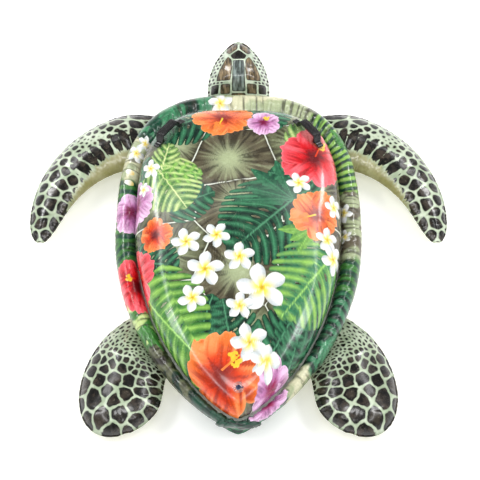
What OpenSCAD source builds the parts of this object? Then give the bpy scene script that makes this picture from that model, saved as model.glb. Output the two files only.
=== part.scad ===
// Inflatable ride-on pool float in the shape of a sea turtle.
// +Y points to the head, +Z up. The origin is the middle of the footprint, on the surface it lies on.
// Every panel is an open half shell of vinyl sheet, and neighbouring panels meet along flat weld lines.

/* [Shell] */
// Half width of the rim at its widest line
rim_half_width = 468; // [464:1:474]
// Reach of the rim ahead of its widest line
rim_front = 627; // [620:1:634]
// Reach of the rim behind its widest line
rim_rear = 807; // [804:1:812]
// Half thickness of the rim tube at the sides
rim_tube = 42; // [41:0.5:43]
// Half width of the carapace dome
dome_half_width = 386; // [382:1:387]
// Reach of the dome ahead of the widest line
dome_front = 510; // [506:1:511]
// Reach of the dome behind the widest line
dome_rear = 772; // [766:1:774]
// Rise of the carapace dome above the deck at its middle
dome_rise = 184; // [170:1:190]
// Wall of every panel
wall = 1.5; // [1.2:0.1:1.6]

/* [Hull] */
// Height of the deck sheet, which divides the two air chambers
deck_z = 165; // [163:1:167]
// How far the side of the hull bulges out under the rim
hull_bulge = 70; // [66:1:70]
// Spacing of the baffles between the deck and the bottom
baffle_pitch = 120; // [100:5:125]
// Radius of the air holes in the baffles
air_hole_r = 30; // [15:1:40]

/* [Flippers and head] */
// Height of the weld seam of all four flippers at their roots
flipper_seam_z = 92; // [90:1:96]
// Droop of the flippers away from the hull, in degrees
flipper_droop = 3; // [0:0.5:3.5]
// Clearance between the hull and the root of a flipper or of the head
root_gap = 6; // [5:0.5:8]
// Height of the neck seam
neck_z = 84; // [80:1:88]
// Pitch of the head, in degrees
head_pitch = 27; // [24:0.5:28]
// Length of the head along its seam
head_length = 316; // [300:1:320]

/* [Handles] */
// Distance of each handle from the centre line
handle_x = 265; // [262:1:268]
// Distance of the handles ahead of the origin
handle_y = 327; // [322:1:330]
// Angle of each handle to the X axis, in degrees
handle_angle = 52; // [46:1:58]
// Overall length of a handle
handle_length = 162; // [156:1:168]
// Width of a handle
handle_width = 38; // [32:1:40]
// Height of the finger gap under a grip
finger_gap = 23; // [20:1:28]

/* [Valves] */
// Outer radius of the welded flange
flange_r = 20; // [17:0.5:22]
// Radius of the sliding stem
stem_r = 9.5; // [9:0.1:10]
// Radius of the air way through the stem
airway_r = 6; // [5:0.1:6.5]
// Depth of the pocket that the stem slides in
pocket_depth = 24; // [22:1:28]
// Distance of the carapace valve behind the origin
valve_back = 712; // [700:1:716]

/* [Hidden] */
widest_y = -25;
turns = 60;
dome_power = 3.2;
rim_power = 2.85;
tail_power = 1.44;
weld_z = deck_z + wall / 2;
foot_inset = 15;
hull_width = dome_half_width - foot_inset;
hull_front = dome_front - foot_inset;
hull_rear = dome_rear - foot_inset;
bulge_z = 70;
bottom_inset = 27;
skin_gap = 0.3;
running_gap = 0.08;

// Outlines. t runs anticlockwise in degrees from +X. The front is a superellipse and the rear a
// rounded taper.
function egg(t, w, f, r, n) = let (c = cos(t), s = sin(t)) s >= 0
  ? [w * sign(c) * pow(abs(c), 2 / n), widest_y + f * pow(s, 2 / n)]
  : [w * sign(c) * pow(abs(c), tail_power), widest_y + r * s];
function ring_angles() = [for (i = [0 : turns - 1]) i * 360 / turns];
function lift(p, z) = [p.x, p.y, z];

// Skins. A skin is a closed sheet between an outer and an inner grid of points with the same rows
// and columns.
function quad(a, b, c, d) = [[a, b, c], [a, c, d]];
function flat(lists) = [for (part = lists) each part];
function reversed(f) = [for (i = [len(f) - 1 : -1 : 0]) f[i]];
module skin(outer, inner, closed, capped = false, flipped = false) {
  rows = len(outer);
  cols = len(outer[0]);
  last = closed ? cols - 1 : cols - 2;
  base = rows * cols;
  function at(i, j) = i * cols + j % cols;
  outside = flat([for (i = [0 : rows - 2], j = [0 : last])
    quad(at(i, j), at(i, j + 1), at(i + 1, j + 1), at(i + 1, j))]);
  inside = flat([for (i = [0 : rows - 2], j = [0 : last])
    quad(base + at(i, j), base + at(i + 1, j), base + at(i + 1, j + 1), base + at(i, j + 1))]);
  first_edge = flat([for (j = [0 : last])
    quad(at(0, j), base + at(0, j), base + at(0, j + 1), at(0, j + 1))]);
  last_edge = flat([for (j = [0 : last]) let (i = rows - 1)
    quad(at(i, j), at(i, j + 1), base + at(i, j + 1), base + at(i, j))]);
  side_edges = flat([for (i = [0 : rows - 2]) concat(
    quad(at(i, 0), at(i + 1, 0), base + at(i + 1, 0), base + at(i, 0)),
    quad(at(i, last + 1), base + at(i, last + 1), base + at(i + 1, last + 1), at(i + 1, last + 1)))]);
  caps = [[for (j = [0 : cols - 1]) at(rows - 1, j)],
    [for (j = [cols - 1 : -1 : 0]) base + at(rows - 1, j)]];
  faces = concat(outside, inside, first_edge, capped ? caps : last_edge, closed ? [] : side_edges);
  polyhedron(flat([flat(outer), flat(inner)]), flipped ? faces : [for (f = faces) reversed(f)],
    convexity = 6);
}

// Carapace dome. The profile runs over a bulging foot, a round shoulder and a crowned top, and the
// whole dome gets lower towards the head and the tail.
foot_rise = 55.5;
foot_depth = 26;
foot_height = 61;
shoulder = 90;
shoulder_height = 104;
crown = dome_rise - foot_rise - shoulder_height;
foot_turn = 65;
front_end = 485;
front_drop = 0.15;
rear_end = 793;
rear_drop = 0.45;
function fall(y) = y > 0 ? 1 - front_drop * pow(y / front_end, 2) : 1 - rear_drop * pow(-y / rear_end, 2.2);
function dome_ring(inset, rise, scale_by = 1) = [for (t = ring_angles())
  let (p = egg(t, dome_half_width - inset, dome_front - inset, dome_rear - inset, dome_power),
    q = [p.x * scale_by, widest_y + (p.y - widest_y) * scale_by])
  lift(q, deck_z + wall + max(0, rise) * fall(q.y))];
function dome_rings(t) = concat(
  [for (a = [-foot_turn : 32.5 : 0]) dome_ring(foot_depth * (1 - cos(a)) + t,
    a == -foot_turn ? 0 : foot_rise + foot_height * sin(a))],
  [for (a = [22.5 : 22.5 : 90]) dome_ring(shoulder * (1 - cos(a)) + t * cos(a),
    foot_rise + shoulder_height * sin(a) - t * sin(a))],
  [for (k = [0.72, 0.4, 0.1]) dome_ring(shoulder, foot_rise + shoulder_height
    + crown * (1 - k * k) - t, k)]);
module carapace_panel() {
  color("forestgreen") difference() {
    skin(dome_rings(0), dome_rings(wall), true, true);
    carapace_valve_place() translate([0, 0, -10]) cylinder(r = stem_r + 1.2, h = 30, $fn = 48);
  }
}

// Height of the smooth dome surface over a point within its shoulder band.
function outline_excess(x, y, d) = pow(abs(x) / (dome_half_width - d), dome_power)
  + pow((y - widest_y) / (dome_front - d), dome_power) - 1;
function inset_at(x, y, lo = 0, hi = 200, n = 24) = n == 0 ? lo : let (mid = (lo + hi) / 2)
  outline_excess(x, y, mid) > 0 ? inset_at(x, y, lo, mid, n - 1) : inset_at(x, y, mid, hi, n - 1);
function shoulder_z(x, y) = let (d = min(inset_at(x, y), shoulder), a = acos(1 - d / shoulder))
  deck_z + wall + (foot_rise + shoulder_height * sin(a)) * fall(y);

// Deck sheet between the two air chambers.
dome_gap = 0.9;
function beside_dome(t, e) = egg(t, dome_half_width + e, dome_front + e, dome_rear + e, dome_power);
module deck_panel() {
  color("darkseagreen") translate([0, 0, deck_z]) linear_extrude(wall)
    polygon([for (t = ring_angles()) beside_dome(t, dome_gap - skin_gap)]);
}

// Rim tube round the carapace, as an upper and a lower half that meet at weld_z. It fills the space
// between the dome and its own outer line, and gets taller at the head and flatter at the tail.
function tube_r(t) = rim_tube + 10 * pow(max(0, sin(t)), 3) - 20 * pow(max(0, -sin(t)), 6);
function rim_point(t, a, e) = let (k = (1 + cos(a)) / 2, inner = beside_dome(t, dome_gap + e),
    outer = egg(t, rim_half_width - e, rim_front - e, rim_rear - e, rim_power))
  lift(outer * k + inner * (1 - k), weld_z + (tube_r(t) - e) * sin(a));
module rim_half(side) {
  outer = [for (a = [0 : 30 : 180]) [for (t = ring_angles()) rim_point(t, side * a, 0)]];
  inner = [for (a = [0 : 30 : 180]) [for (t = ring_angles()) rim_point(t, side * a, wall)]];
  skin(outer, inner, true, flipped = side < 0);
}
module rim_upper_panel() {
  color("darkolivegreen") rim_half(1);
}
module rim_lower_panel() {
  color("darkgreen") rim_half(-1);
}

// Hull. Its side leaves the deck inside the rim, bulges out under it and turns in to a flat bottom.
front_bulge = 1.1;
rear_bulge = -0.25;
function hull_outline(t, e, gap = 0) = egg(t, hull_width + e + gap,
  hull_front + e * (e > 0 ? front_bulge : 1) + gap,
  hull_rear + e * (e > 0 ? rear_bulge : 1) + gap, rim_power);
function hull_ring(e, z) = [for (t = ring_angles()) lift(hull_outline(t, e), z)];
function hull_side_e(z) = let (u = (deck_z - z) / (deck_z - bulge_z)) hull_bulge * u * u * (3 - 2 * u);
function hull_rings(t) = concat(
  [for (k = [0 : 5]) let (z = deck_z - (deck_z - bulge_z) * k / 5) hull_ring(hull_side_e(z) - t, z)],
  [for (a = [22.5 : 22.5 : 90]) let (r = hull_bulge + bottom_inset - t * (1 - sin(a)))
    hull_ring(r * cos(a) - bottom_inset, bulge_z - (bulge_z - t) * sin(a))]);
module hull_side_panel() {
  color("seagreen") difference() {
    skin(hull_rings(0), hull_rings(wall), true, flipped = true);
    hull_valve_place() translate([0, 0, -10]) cylinder(r = stem_r + 1.2, h = 30, $fn = 48);
  }
}
module hull_bottom_panel() {
  color("mediumseagreen") linear_extrude(wall)
    polygon([for (p = hull_ring(-bottom_inset, 0)) [p.x, p.y]]);
}

// Baffles that hold the bottom flat against the air pressure.
module hull_baffle(i) {
  x = (i - 3) * baffle_pitch;
  half = hull_width - bottom_inset;
  u = abs(x) / half;
  end_gap = 25;
  front = widest_y + (hull_front - bottom_inset) * pow(1 - pow(u, rim_power), 1 / rim_power) - end_gap;
  rear = widest_y - (hull_rear - bottom_inset) * sqrt(1 - pow(u, 2 / tail_power)) + end_gap;
  color("lightgray") difference() {
    translate([x - wall / 2, rear, wall]) cube([wall, front - rear, deck_z - wall]);
    for (k = [1 : 4]) translate([x, rear + (front - rear) * k / 5, deck_z / 2])
      rotate([0, 90, 0]) cylinder(r = air_hole_r, h = 4 * wall, center = true, $fn = 64);
  }
}

// Pillows: two panels welded round their edge. s runs from the root to the tip along a Bezier
// spine and v across it. form = [half width at the root, linear term, square term, tip roundness].
// swell = [s at which the pillow is full, power of the rise up to it].
function bezier(p, s) = let (q = 1 - s)
  q * q * q * p[0] + 3 * q * q * s * p[1] + 3 * q * s * s * p[2] + s * s * s * p[3];
function heading(p, s) = let (q = 1 - s,
    d = q * q * (p[1] - p[0]) + 2 * q * s * (p[2] - p[1]) + s * s * (p[3] - p[2]))
  d / norm(d);
function half_width(form, s) = (form[0] + form[1] * s + form[2] * s * s) * sqrt(1 - pow(s, form[3]));
function straight_point(p, form, s, v, t) = let (d = heading(p, s))
  bezier(p, s) + (half_width(form, s) - t) * v * [-d.y, d.x];
root_reach = 0.3;
function pillow_point(p, form, root, depth, swell, s, v, t) = let (
    fill = pow(sin(90 * min(1, s / swell[0])), swell[1]),
    h = max(0, depth * half_width(form, s) * fill - t),
    fade = pow(max(0, 1 - s / root_reach), 2 - root[4] * (1 + v)),
    q = straight_point(p, form, s, v, t)
      + fade * (root_point(root, v) - straight_point(p, form, 0, v, 0)))
  lift(q, h * pow(max(0, 1 - v * v), 0.62));
function root_point(root, v) = let (t = root[0] + (root[1] - root[0]) * (v + 1) / 2)
  hull_outline(t, hull_side_e(root[2]), root_gap) - root[3];
tip = 0.9975;
flipper_tip_margin = 0.01;
head_tip_margin = 0.016;
root_margin = 0.006;
module pillow_panel(p, form, root, depth, swell, tip_margin, rows, cols, side) {
  function grid(from, to, t) = [for (i = [0 : rows])
    let (s = from + (to - from) * (1 - cos(180 * i / rows)) / 2) [for (j = [0 : cols])
      let (q = pillow_point(p, form, root, depth, swell, s, -cos(180 * j / cols), t))
      [q.x, q.y, side * q.z]]];
  skin(grid(0, tip, 0), grid(root_margin, tip - tip_margin, wall), false, flipped = side > 0);
}

// Flippers. root = [first angle on the hull, last angle, height of the seam, local origin, how long
// the trailing edge keeps beside the hull], and the axis is the one on which the flipper swings.
front_spine = [[-332, 443], [-436, 472], [-740, 385], [-766, -22]];
front_form = [134, 10, -100, 24];
front_root = [112, 151, flipper_seam_z, [0, 0], 0.7];
front_axis = [0.3, 0.954, 0];
rear_spine = [[-329, -458], [-400, -512], [-458, -645], [-408, -808]];
rear_form = [121, 66, -34, 8];
rear_root = [205.4, 225.6, flipper_seam_z, [0, 0], 0];
rear_axis = [-0.63, 0.776, 0];
module hang(spine, axis) {
  pivot = lift(spine[0], flipper_seam_z);
  translate(pivot) rotate(-flipper_droop, axis) translate([-pivot.x, -pivot.y, 0]) children();
}
module front_flipper(side, depth) {
  hang(front_spine, front_axis)
    pillow_panel(front_spine, front_form, front_root, depth, [0.34, 1.9], flipper_tip_margin, 14, 8, side);
}
module rear_flipper(side, depth, rows) {
  hang(rear_spine, rear_axis)
    pillow_panel(rear_spine, rear_form, rear_root, depth, [0.35, 1.2], flipper_tip_margin, rows, 8, side);
}
module front_left_flipper_upper() {
  color("darkslategray") front_flipper(1, 0.46);
}
module front_left_flipper_lower() {
  color("lightgoldenrodyellow") front_flipper(-1, 0.44);
}
module front_right_flipper_upper() {
  color("darkslategray") mirror([1, 0, 0]) front_flipper(1, 0.46);
}
module front_right_flipper_lower() {
  color("lightgoldenrodyellow") mirror([1, 0, 0]) front_flipper(-1, 0.44);
}
module rear_left_flipper_upper() {
  color("darkslategray") rear_flipper(1, 0.42, 12);
}
module rear_left_flipper_lower() {
  color("lightgoldenrodyellow") rear_flipper(-1, 0.4, 14);
}
module rear_right_flipper_upper() {
  color("darkslategray") mirror([1, 0, 0]) rear_flipper(1, 0.42, 12);
}
module rear_right_flipper_lower() {
  color("lightgoldenrodyellow") mirror([1, 0, 0]) rear_flipper(-1, 0.4, 14);
}

// Head, built flat from the neck seam forward and then pitched up.
neck_y = widest_y + hull_front + front_bulge * hull_side_e(neck_z) + root_gap;
head_spine = [[0, 0], [0, head_length / 3], [0, head_length * 2 / 3], [0, head_length]];
head_form = [100, 113, -154, 6];
head_root = [85, 95, neck_z, [0, neck_y], 0];
module head_half(side, depth) {
  translate([0, neck_y, neck_z]) rotate([head_pitch, 0, 0])
    pillow_panel(head_spine, head_form, head_root, depth, [0.58, 2.8], head_tip_margin, 12, 10, side);
}
module head_upper_panel() {
  color("dimgray") head_half(1, 0.8);
}
module head_lower_panel() {
  color("palegoldenrod") head_half(-1, 0.66);
}

// Handles. A welded patch follows the dome and the moulded grip stands on it.
out_dir = [-sin(handle_angle), cos(handle_angle)];
handle_slope = atan((shoulder_z(-handle_x - 6 * out_dir.x, handle_y - 6 * out_dir.y)
  - shoulder_z(-handle_x + 6 * out_dir.x, handle_y + 6 * out_dir.y)) / 12);
along = [cos(handle_angle), sin(handle_angle)];
handle_roll = atan((shoulder_z(-handle_x - 80 * along.x, handle_y - 80 * along.y)
  - shoulder_z(-handle_x + 80 * along.x, handle_y + 80 * along.y)) / 160);
module handle_place() {
  translate([-handle_x, handle_y, shoulder_z(-handle_x, handle_y)])
    rotate([0, 0, handle_angle]) rotate([-handle_slope, 0, 0]) rotate([0, handle_roll, 0]) children();
}
module handle_grip() {
  half = handle_length / 2;
  tab = 5;
  end_z = -2.6;
  leg_z = 1.4;
  top = finger_gap + 12;
  right = [[half - 42, top], [half - 36, top - 3], [half - 24, leg_z + tab], [half, end_z + tab],
    [half, end_z], [half - 30, leg_z], [half - 38, finger_gap - 2], [half - 42, finger_gap]];
  left = [for (k = [len(right) - 1 : -1 : 0]) [-right[k].x, right[k].y]];
  handle_place() rotate([90, 0, 0]) linear_extrude(handle_width, center = true)
    polygon(concat(right, left));
}
module handle_patch() {
  function grid(z) = [for (i = [-4 : 4]) [for (j = [-2 : 2])
    let (e = sqrt(1 - pow(abs(i) / 4.6, 4)),
      q = [-handle_x, handle_y] + i * 22 * along + j * 11 * e * out_dir)
    lift(q, shoulder_z(q.x, q.y) + z)]];
  skin(grid(1.5), grid(0.3), false, flipped = true);
}
module left_handle_grip() {
  color("black") handle_grip();
}
module left_handle_patch() {
  color("darkslategray") handle_patch();
}
module right_handle_grip() {
  color("black") mirror([1, 0, 0]) handle_grip();
}
module right_handle_patch() {
  color("darkslategray") mirror([1, 0, 0]) handle_patch();
}

// Valves. The stem slides in a welded pocket, the flap closes its inner end and the plug its mouth.
valve_tilt = 14;
cap_lip = 2.6;
valve_rise = foot_rise + shoulder_height;
module carapace_valve_place() {
  translate([0, -valve_back, deck_z + wall + valve_rise * fall(-valve_back)]) rotate([valve_tilt, 0, 0])
    children();
}
module hull_valve_place() {
  translate([-(hull_width + hull_bulge), widest_y, bulge_z]) rotate([0, -90, 0]) children();
}
module valve_flange() {
  flange_z = 0.4;
  flange_t = 1.2;
  pocket_r = stem_r + running_gap;
  difference() {
    union() {
      translate([0, 0, flange_z]) cylinder(r = flange_r, h = flange_t, $fn = 96);
      translate([0, 0, -pocket_depth])
        cylinder(r = pocket_r + 0.8, h = pocket_depth + flange_z + flange_t, $fn = 96);
    }
    translate([0, 0, -pocket_depth - 1]) cylinder(r = pocket_r, h = pocket_depth + 6, $fn = 96);
  }
}
module valve_stem() {
  difference() {
    translate([0, 0, 2 - pocket_depth]) cylinder(r = stem_r, h = pocket_depth - 1, $fn = 96);
    translate([0, 0, -pocket_depth]) cylinder(r = airway_r, h = pocket_depth + 6, $fn = 96);
  }
}
module valve_flap() {
  translate([0, 0, 0.7 - pocket_depth]) cylinder(r = airway_r + 1.5, h = 1, $fn = 64);
}
module valve_plug() {
  cap_z = 1.3;
  translate([0, 0, cap_z]) cylinder(r = airway_r + cap_lip, h = 2.4, $fn = 96);
  translate([0, 0, cap_z - 10]) cylinder(r = airway_r - 0.07, h = 10, $fn = 96);
}
module valve_tether() {
  strap_w = 5;
  translate([airway_r + cap_lip, -strap_w / 2, 2.1]) cube([flange_r - airway_r - 5, strap_w, 1]);
}
module carapace_valve_flange() {
  color("silver") carapace_valve_place() valve_flange();
}
module carapace_valve_stem() {
  color("gainsboro") carapace_valve_place() valve_stem();
}
module carapace_valve_flap() {
  color("whitesmoke") carapace_valve_place() valve_flap();
}
module carapace_valve_plug() {
  color("midnightblue") carapace_valve_place() valve_plug();
}
module carapace_valve_tether() {
  color("gray") carapace_valve_place() valve_tether();
}
module hull_valve_flange() {
  color("silver") hull_valve_place() valve_flange();
}
module hull_valve_stem() {
  color("gainsboro") hull_valve_place() valve_stem();
}
module hull_valve_flap() {
  color("whitesmoke") hull_valve_place() valve_flap();
}
module hull_valve_plug() {
  color("midnightblue") hull_valve_place() valve_plug();
}
module hull_valve_tether() {
  color("gray") hull_valve_place() valve_tether();
}

carapace_panel();
deck_panel();
rim_upper_panel();
rim_lower_panel();
hull_side_panel();
hull_bottom_panel();
hull_baffle(1);  // hull_baffle_1
hull_baffle(2);  // hull_baffle_2
hull_baffle(3);  // hull_baffle_3
hull_baffle(4);  // hull_baffle_4
hull_baffle(5);  // hull_baffle_5
head_upper_panel();
head_lower_panel();
front_left_flipper_upper();
front_left_flipper_lower();
front_right_flipper_upper();
front_right_flipper_lower();
rear_left_flipper_upper();
rear_left_flipper_lower();
rear_right_flipper_upper();
rear_right_flipper_lower();
left_handle_grip();
left_handle_patch();
right_handle_grip();
right_handle_patch();
carapace_valve_flange();
carapace_valve_stem();
carapace_valve_flap();
carapace_valve_plug();
carapace_valve_tether();
hull_valve_flange();
hull_valve_stem();
hull_valve_flap();
hull_valve_plug();
hull_valve_tether();
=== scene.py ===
"""Inflatable sea turtle pool float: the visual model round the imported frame."""
import math

import bpy
import numpy as np
from mathutils import Matrix, Vector, bvhtree


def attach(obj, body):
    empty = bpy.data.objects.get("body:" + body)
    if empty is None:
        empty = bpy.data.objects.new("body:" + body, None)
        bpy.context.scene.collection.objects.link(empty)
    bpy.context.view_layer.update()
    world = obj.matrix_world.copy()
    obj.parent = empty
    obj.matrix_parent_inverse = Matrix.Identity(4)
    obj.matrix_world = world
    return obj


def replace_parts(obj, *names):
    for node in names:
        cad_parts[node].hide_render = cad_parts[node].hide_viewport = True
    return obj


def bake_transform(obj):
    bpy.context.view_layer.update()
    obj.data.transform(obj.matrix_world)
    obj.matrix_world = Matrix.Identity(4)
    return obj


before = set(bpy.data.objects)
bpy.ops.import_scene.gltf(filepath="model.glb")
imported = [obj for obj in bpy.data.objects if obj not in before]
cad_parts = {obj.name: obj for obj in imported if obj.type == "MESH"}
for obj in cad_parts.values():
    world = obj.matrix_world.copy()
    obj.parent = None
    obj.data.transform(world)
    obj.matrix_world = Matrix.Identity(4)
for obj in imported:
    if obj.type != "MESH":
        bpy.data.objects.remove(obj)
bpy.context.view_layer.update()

MM = 0.001
TAU = 2 * math.pi

# --------------------------------------------------------------------------- numbers in millimetres
WIDEST_Y = -25.0
DECK_Z = 165.0
WALL = 1.5
WELD_Z = DECK_Z + WALL / 2
DOME = (386.0, 510.0, 772.0)
DOME_POWER = 3.2
RIM = (468.0, 627.0, 807.0)
RIM_POWER = 2.85
TAIL_POWER = 1.44
FOOT_RISE, FOOT_DEPTH, FOOT_HEIGHT, FOOT_TURN = 55.5, 26.0, 61.0, 65.0
SHOULDER, SHOULDER_HEIGHT, DOME_RISE = 90.0, 104.0, 184.0
HULL = (371.0, 495.0, 757.0)
HULL_BULGE, BULGE_Z, BOTTOM_INSET = 70.0, 70.0, 27.0
SEAM_Z = 92.0
NECK = (0.0, 548.476, 84.0)
HEAD_PITCH = 27.0
DROOP = 3.0
ROOT_GAP = 6.0
DOME_GAP = 0.9
WELD_WIDTH, PLEAT_SPACING = 5.0, 17.0


# --------------------------------------------------------------------------- small maths
def smooth(a, b, x):
    t = np.clip((x - a) / (b - a), 0, 1)
    return t * t * (3 - 2 * t)


def mix(a, b, f):
    f = np.asarray(f)[..., None]
    return np.asarray(a) * (1 - f) + np.asarray(b) * f


def rgb(code):
    """A colour given as six hex digits, in linear light."""
    s = np.array([int(code[i:i + 2], 16) for i in (0, 2, 4)]) / 255
    return np.where(s > 0.04045, ((s + 0.055) / 1.055) ** 2.4, s / 12.92)


def hashed(i, j, seed):
    h = np.sin(i * 127.1 + j * 311.7 + seed * 74.7) * 43758.5453
    return h - np.floor(h)


def noise(x, y, seed):
    """Smooth value noise from 0 to 1 with cells of side 1."""
    i, j = np.floor(x), np.floor(y)
    u, v = x - i, y - j
    u, v = u * u * (3 - 2 * u), v * v * (3 - 2 * v)
    a, b = hashed(i, j, seed), hashed(i + 1, j, seed)
    c, d = hashed(i, j + 1, seed), hashed(i + 1, j + 1, seed)
    return a + (b - a) * u + (c - a) * v + (a - b - c + d) * u * v


def fbm(x, y, seed, octaves=3):
    total, size = 0.0, 0.0
    for k in range(octaves):
        total = total + noise(x * 2 ** k, y * 2 ** k, seed + 17 * k) / 2 ** k
        size += 1 / 2 ** k
    return total / size


def turned(x, y, degrees):
    """(x, y) in axes turned by that angle."""
    c, s = math.cos(math.radians(degrees)), math.sin(math.radians(degrees))
    return x * c + y * s, -x * s + y * c


# --------------------------------------------------------------------------- outlines and surfaces
def egg(t, half, front, rear, power):
    c, s = np.cos(t), np.sin(t)
    x = half * np.sign(c) * np.where(s >= 0, np.abs(c) ** (2 / power), np.abs(c) ** TAIL_POWER)
    y = WIDEST_Y + np.where(s >= 0, front * np.abs(s) ** (2 / power), rear * s)
    return x, y


def even_turns(n, half, front, rear, power):
    """n angles that lie evenly along an egg's outline, and the arc length at each."""
    t = np.linspace(0, TAU, 20001)
    x, y = egg(t, half, front, rear, power)
    arc = np.concatenate([[0], np.cumsum(np.hypot(np.diff(x), np.diff(y)))])
    want = np.linspace(0, arc[-1], n, endpoint=False)
    return np.interp(want, arc, t), want, arc[-1]


def fall(y):
    return np.where(y > 0, 1 - 0.15 * (y / 485) ** 2, 1 - 0.45 * (np.maximum(-y, 0) / 793) ** 2.2)


def hull_side(z):
    u = (DECK_Z - z) / (DECK_Z - BULGE_Z)
    return HULL_BULGE * u * u * (3 - 2 * u)


def hull_outline(t, e, gap=0.0):
    bulge = np.where(np.asarray(e) > 0, 1.1, 1.0), np.where(np.asarray(e) > 0, -0.25, 1.0)
    return egg(t, HULL[0] + e + gap, HULL[1] + e * bulge[0] + gap, HULL[2] + e * bulge[1] + gap, RIM_POWER)


def grid_normals(p, wrap_cols, wrap_rows=False):
    """Unit normals of a grid of points (rows, columns, 3), from its neighbours."""
    def step(axis, wrap):
        if wrap:
            return np.roll(p, -1, axis) - np.roll(p, 1, axis)
        return np.gradient(p, axis=axis)
    n = np.cross(step(1, wrap_cols), step(0, wrap_rows))
    return n / np.maximum(np.linalg.norm(n, axis=2, keepdims=True), 1e-9)


def grid_faces(rows, cols, wrap_rows=False, wrap_cols=False, start=0, flip=False):
    i = np.arange(rows if wrap_rows else rows - 1)[:, None]
    j = np.arange(cols if wrap_cols else cols - 1)[None, :]
    i2, j2 = (i + 1) % rows, (j + 1) % cols
    q = np.stack([i * cols + j, i * cols + j2, i2 * cols + j2, i2 * cols + j], -1).reshape(-1, 4) + start
    return q[:, ::-1] if flip else q


def make(name, points, faces, slots):
    """A smooth mesh object from points in millimetres. slots is [(material, number of faces), ...]."""
    me = bpy.data.meshes.new(name)
    me.from_pydata((np.asarray(points).reshape(-1, 3) * MM).tolist(), [], [list(map(int, f)) for f in faces])
    me.polygons.foreach_set("use_smooth", [True] * len(me.polygons))
    start = 0
    for k, (material, count) in enumerate(slots):
        me.materials.append(material)
        if k:
            me.polygons.foreach_get("material_index", index := np.zeros(len(me.polygons), np.int32))
            index[start:start + count] = k
            me.polygons.foreach_set("material_index", index)
        start += count
    me.update()
    ob = bpy.data.objects.new(name, me)
    bpy.context.collection.objects.link(ob)
    return ob


def give(ob, name, values):
    """Write a point attribute: a number each, or a colour or vector of three each."""
    values = np.asarray(values, np.float32)
    if values.ndim == 1:
        ob.data.attributes.new(name, "FLOAT", "POINT").data.foreach_set("value", values)
    else:
        colour = np.concatenate([values, np.ones((len(values), 1), np.float32)], 1)
        ob.data.attributes.new(name, "FLOAT_COLOR", "POINT").data.foreach_set("color", colour.ravel())


def creases(arc, inward, total, seed, spacing, length, width, depth):
    """How far short folds that start on a weld press a film in.

    arc runs along the weld, inward away from it.
    """
    draw = np.random.default_rng(seed)
    out = np.zeros(np.broadcast(arc, inward).shape)
    at = 0.0
    while at < total:
        reach, wide = length * draw.uniform(0.5, 1.4), width * draw.uniform(0.7, 1.3)
        deep, lean = depth * draw.uniform(0.4, 1.2), draw.uniform(-0.35, 0.35)
        gap = (arc - at - lean * inward + total / 2) % total - total / 2
        fade = np.clip(1 - inward / reach, 0, 1)
        out += deep * np.exp(-(gap / (wide * (0.5 + 0.5 * fade) + 1.0)) ** 2) * fade ** 1.3
        at += spacing * draw.uniform(0.6, 1.4)
    return out


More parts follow.
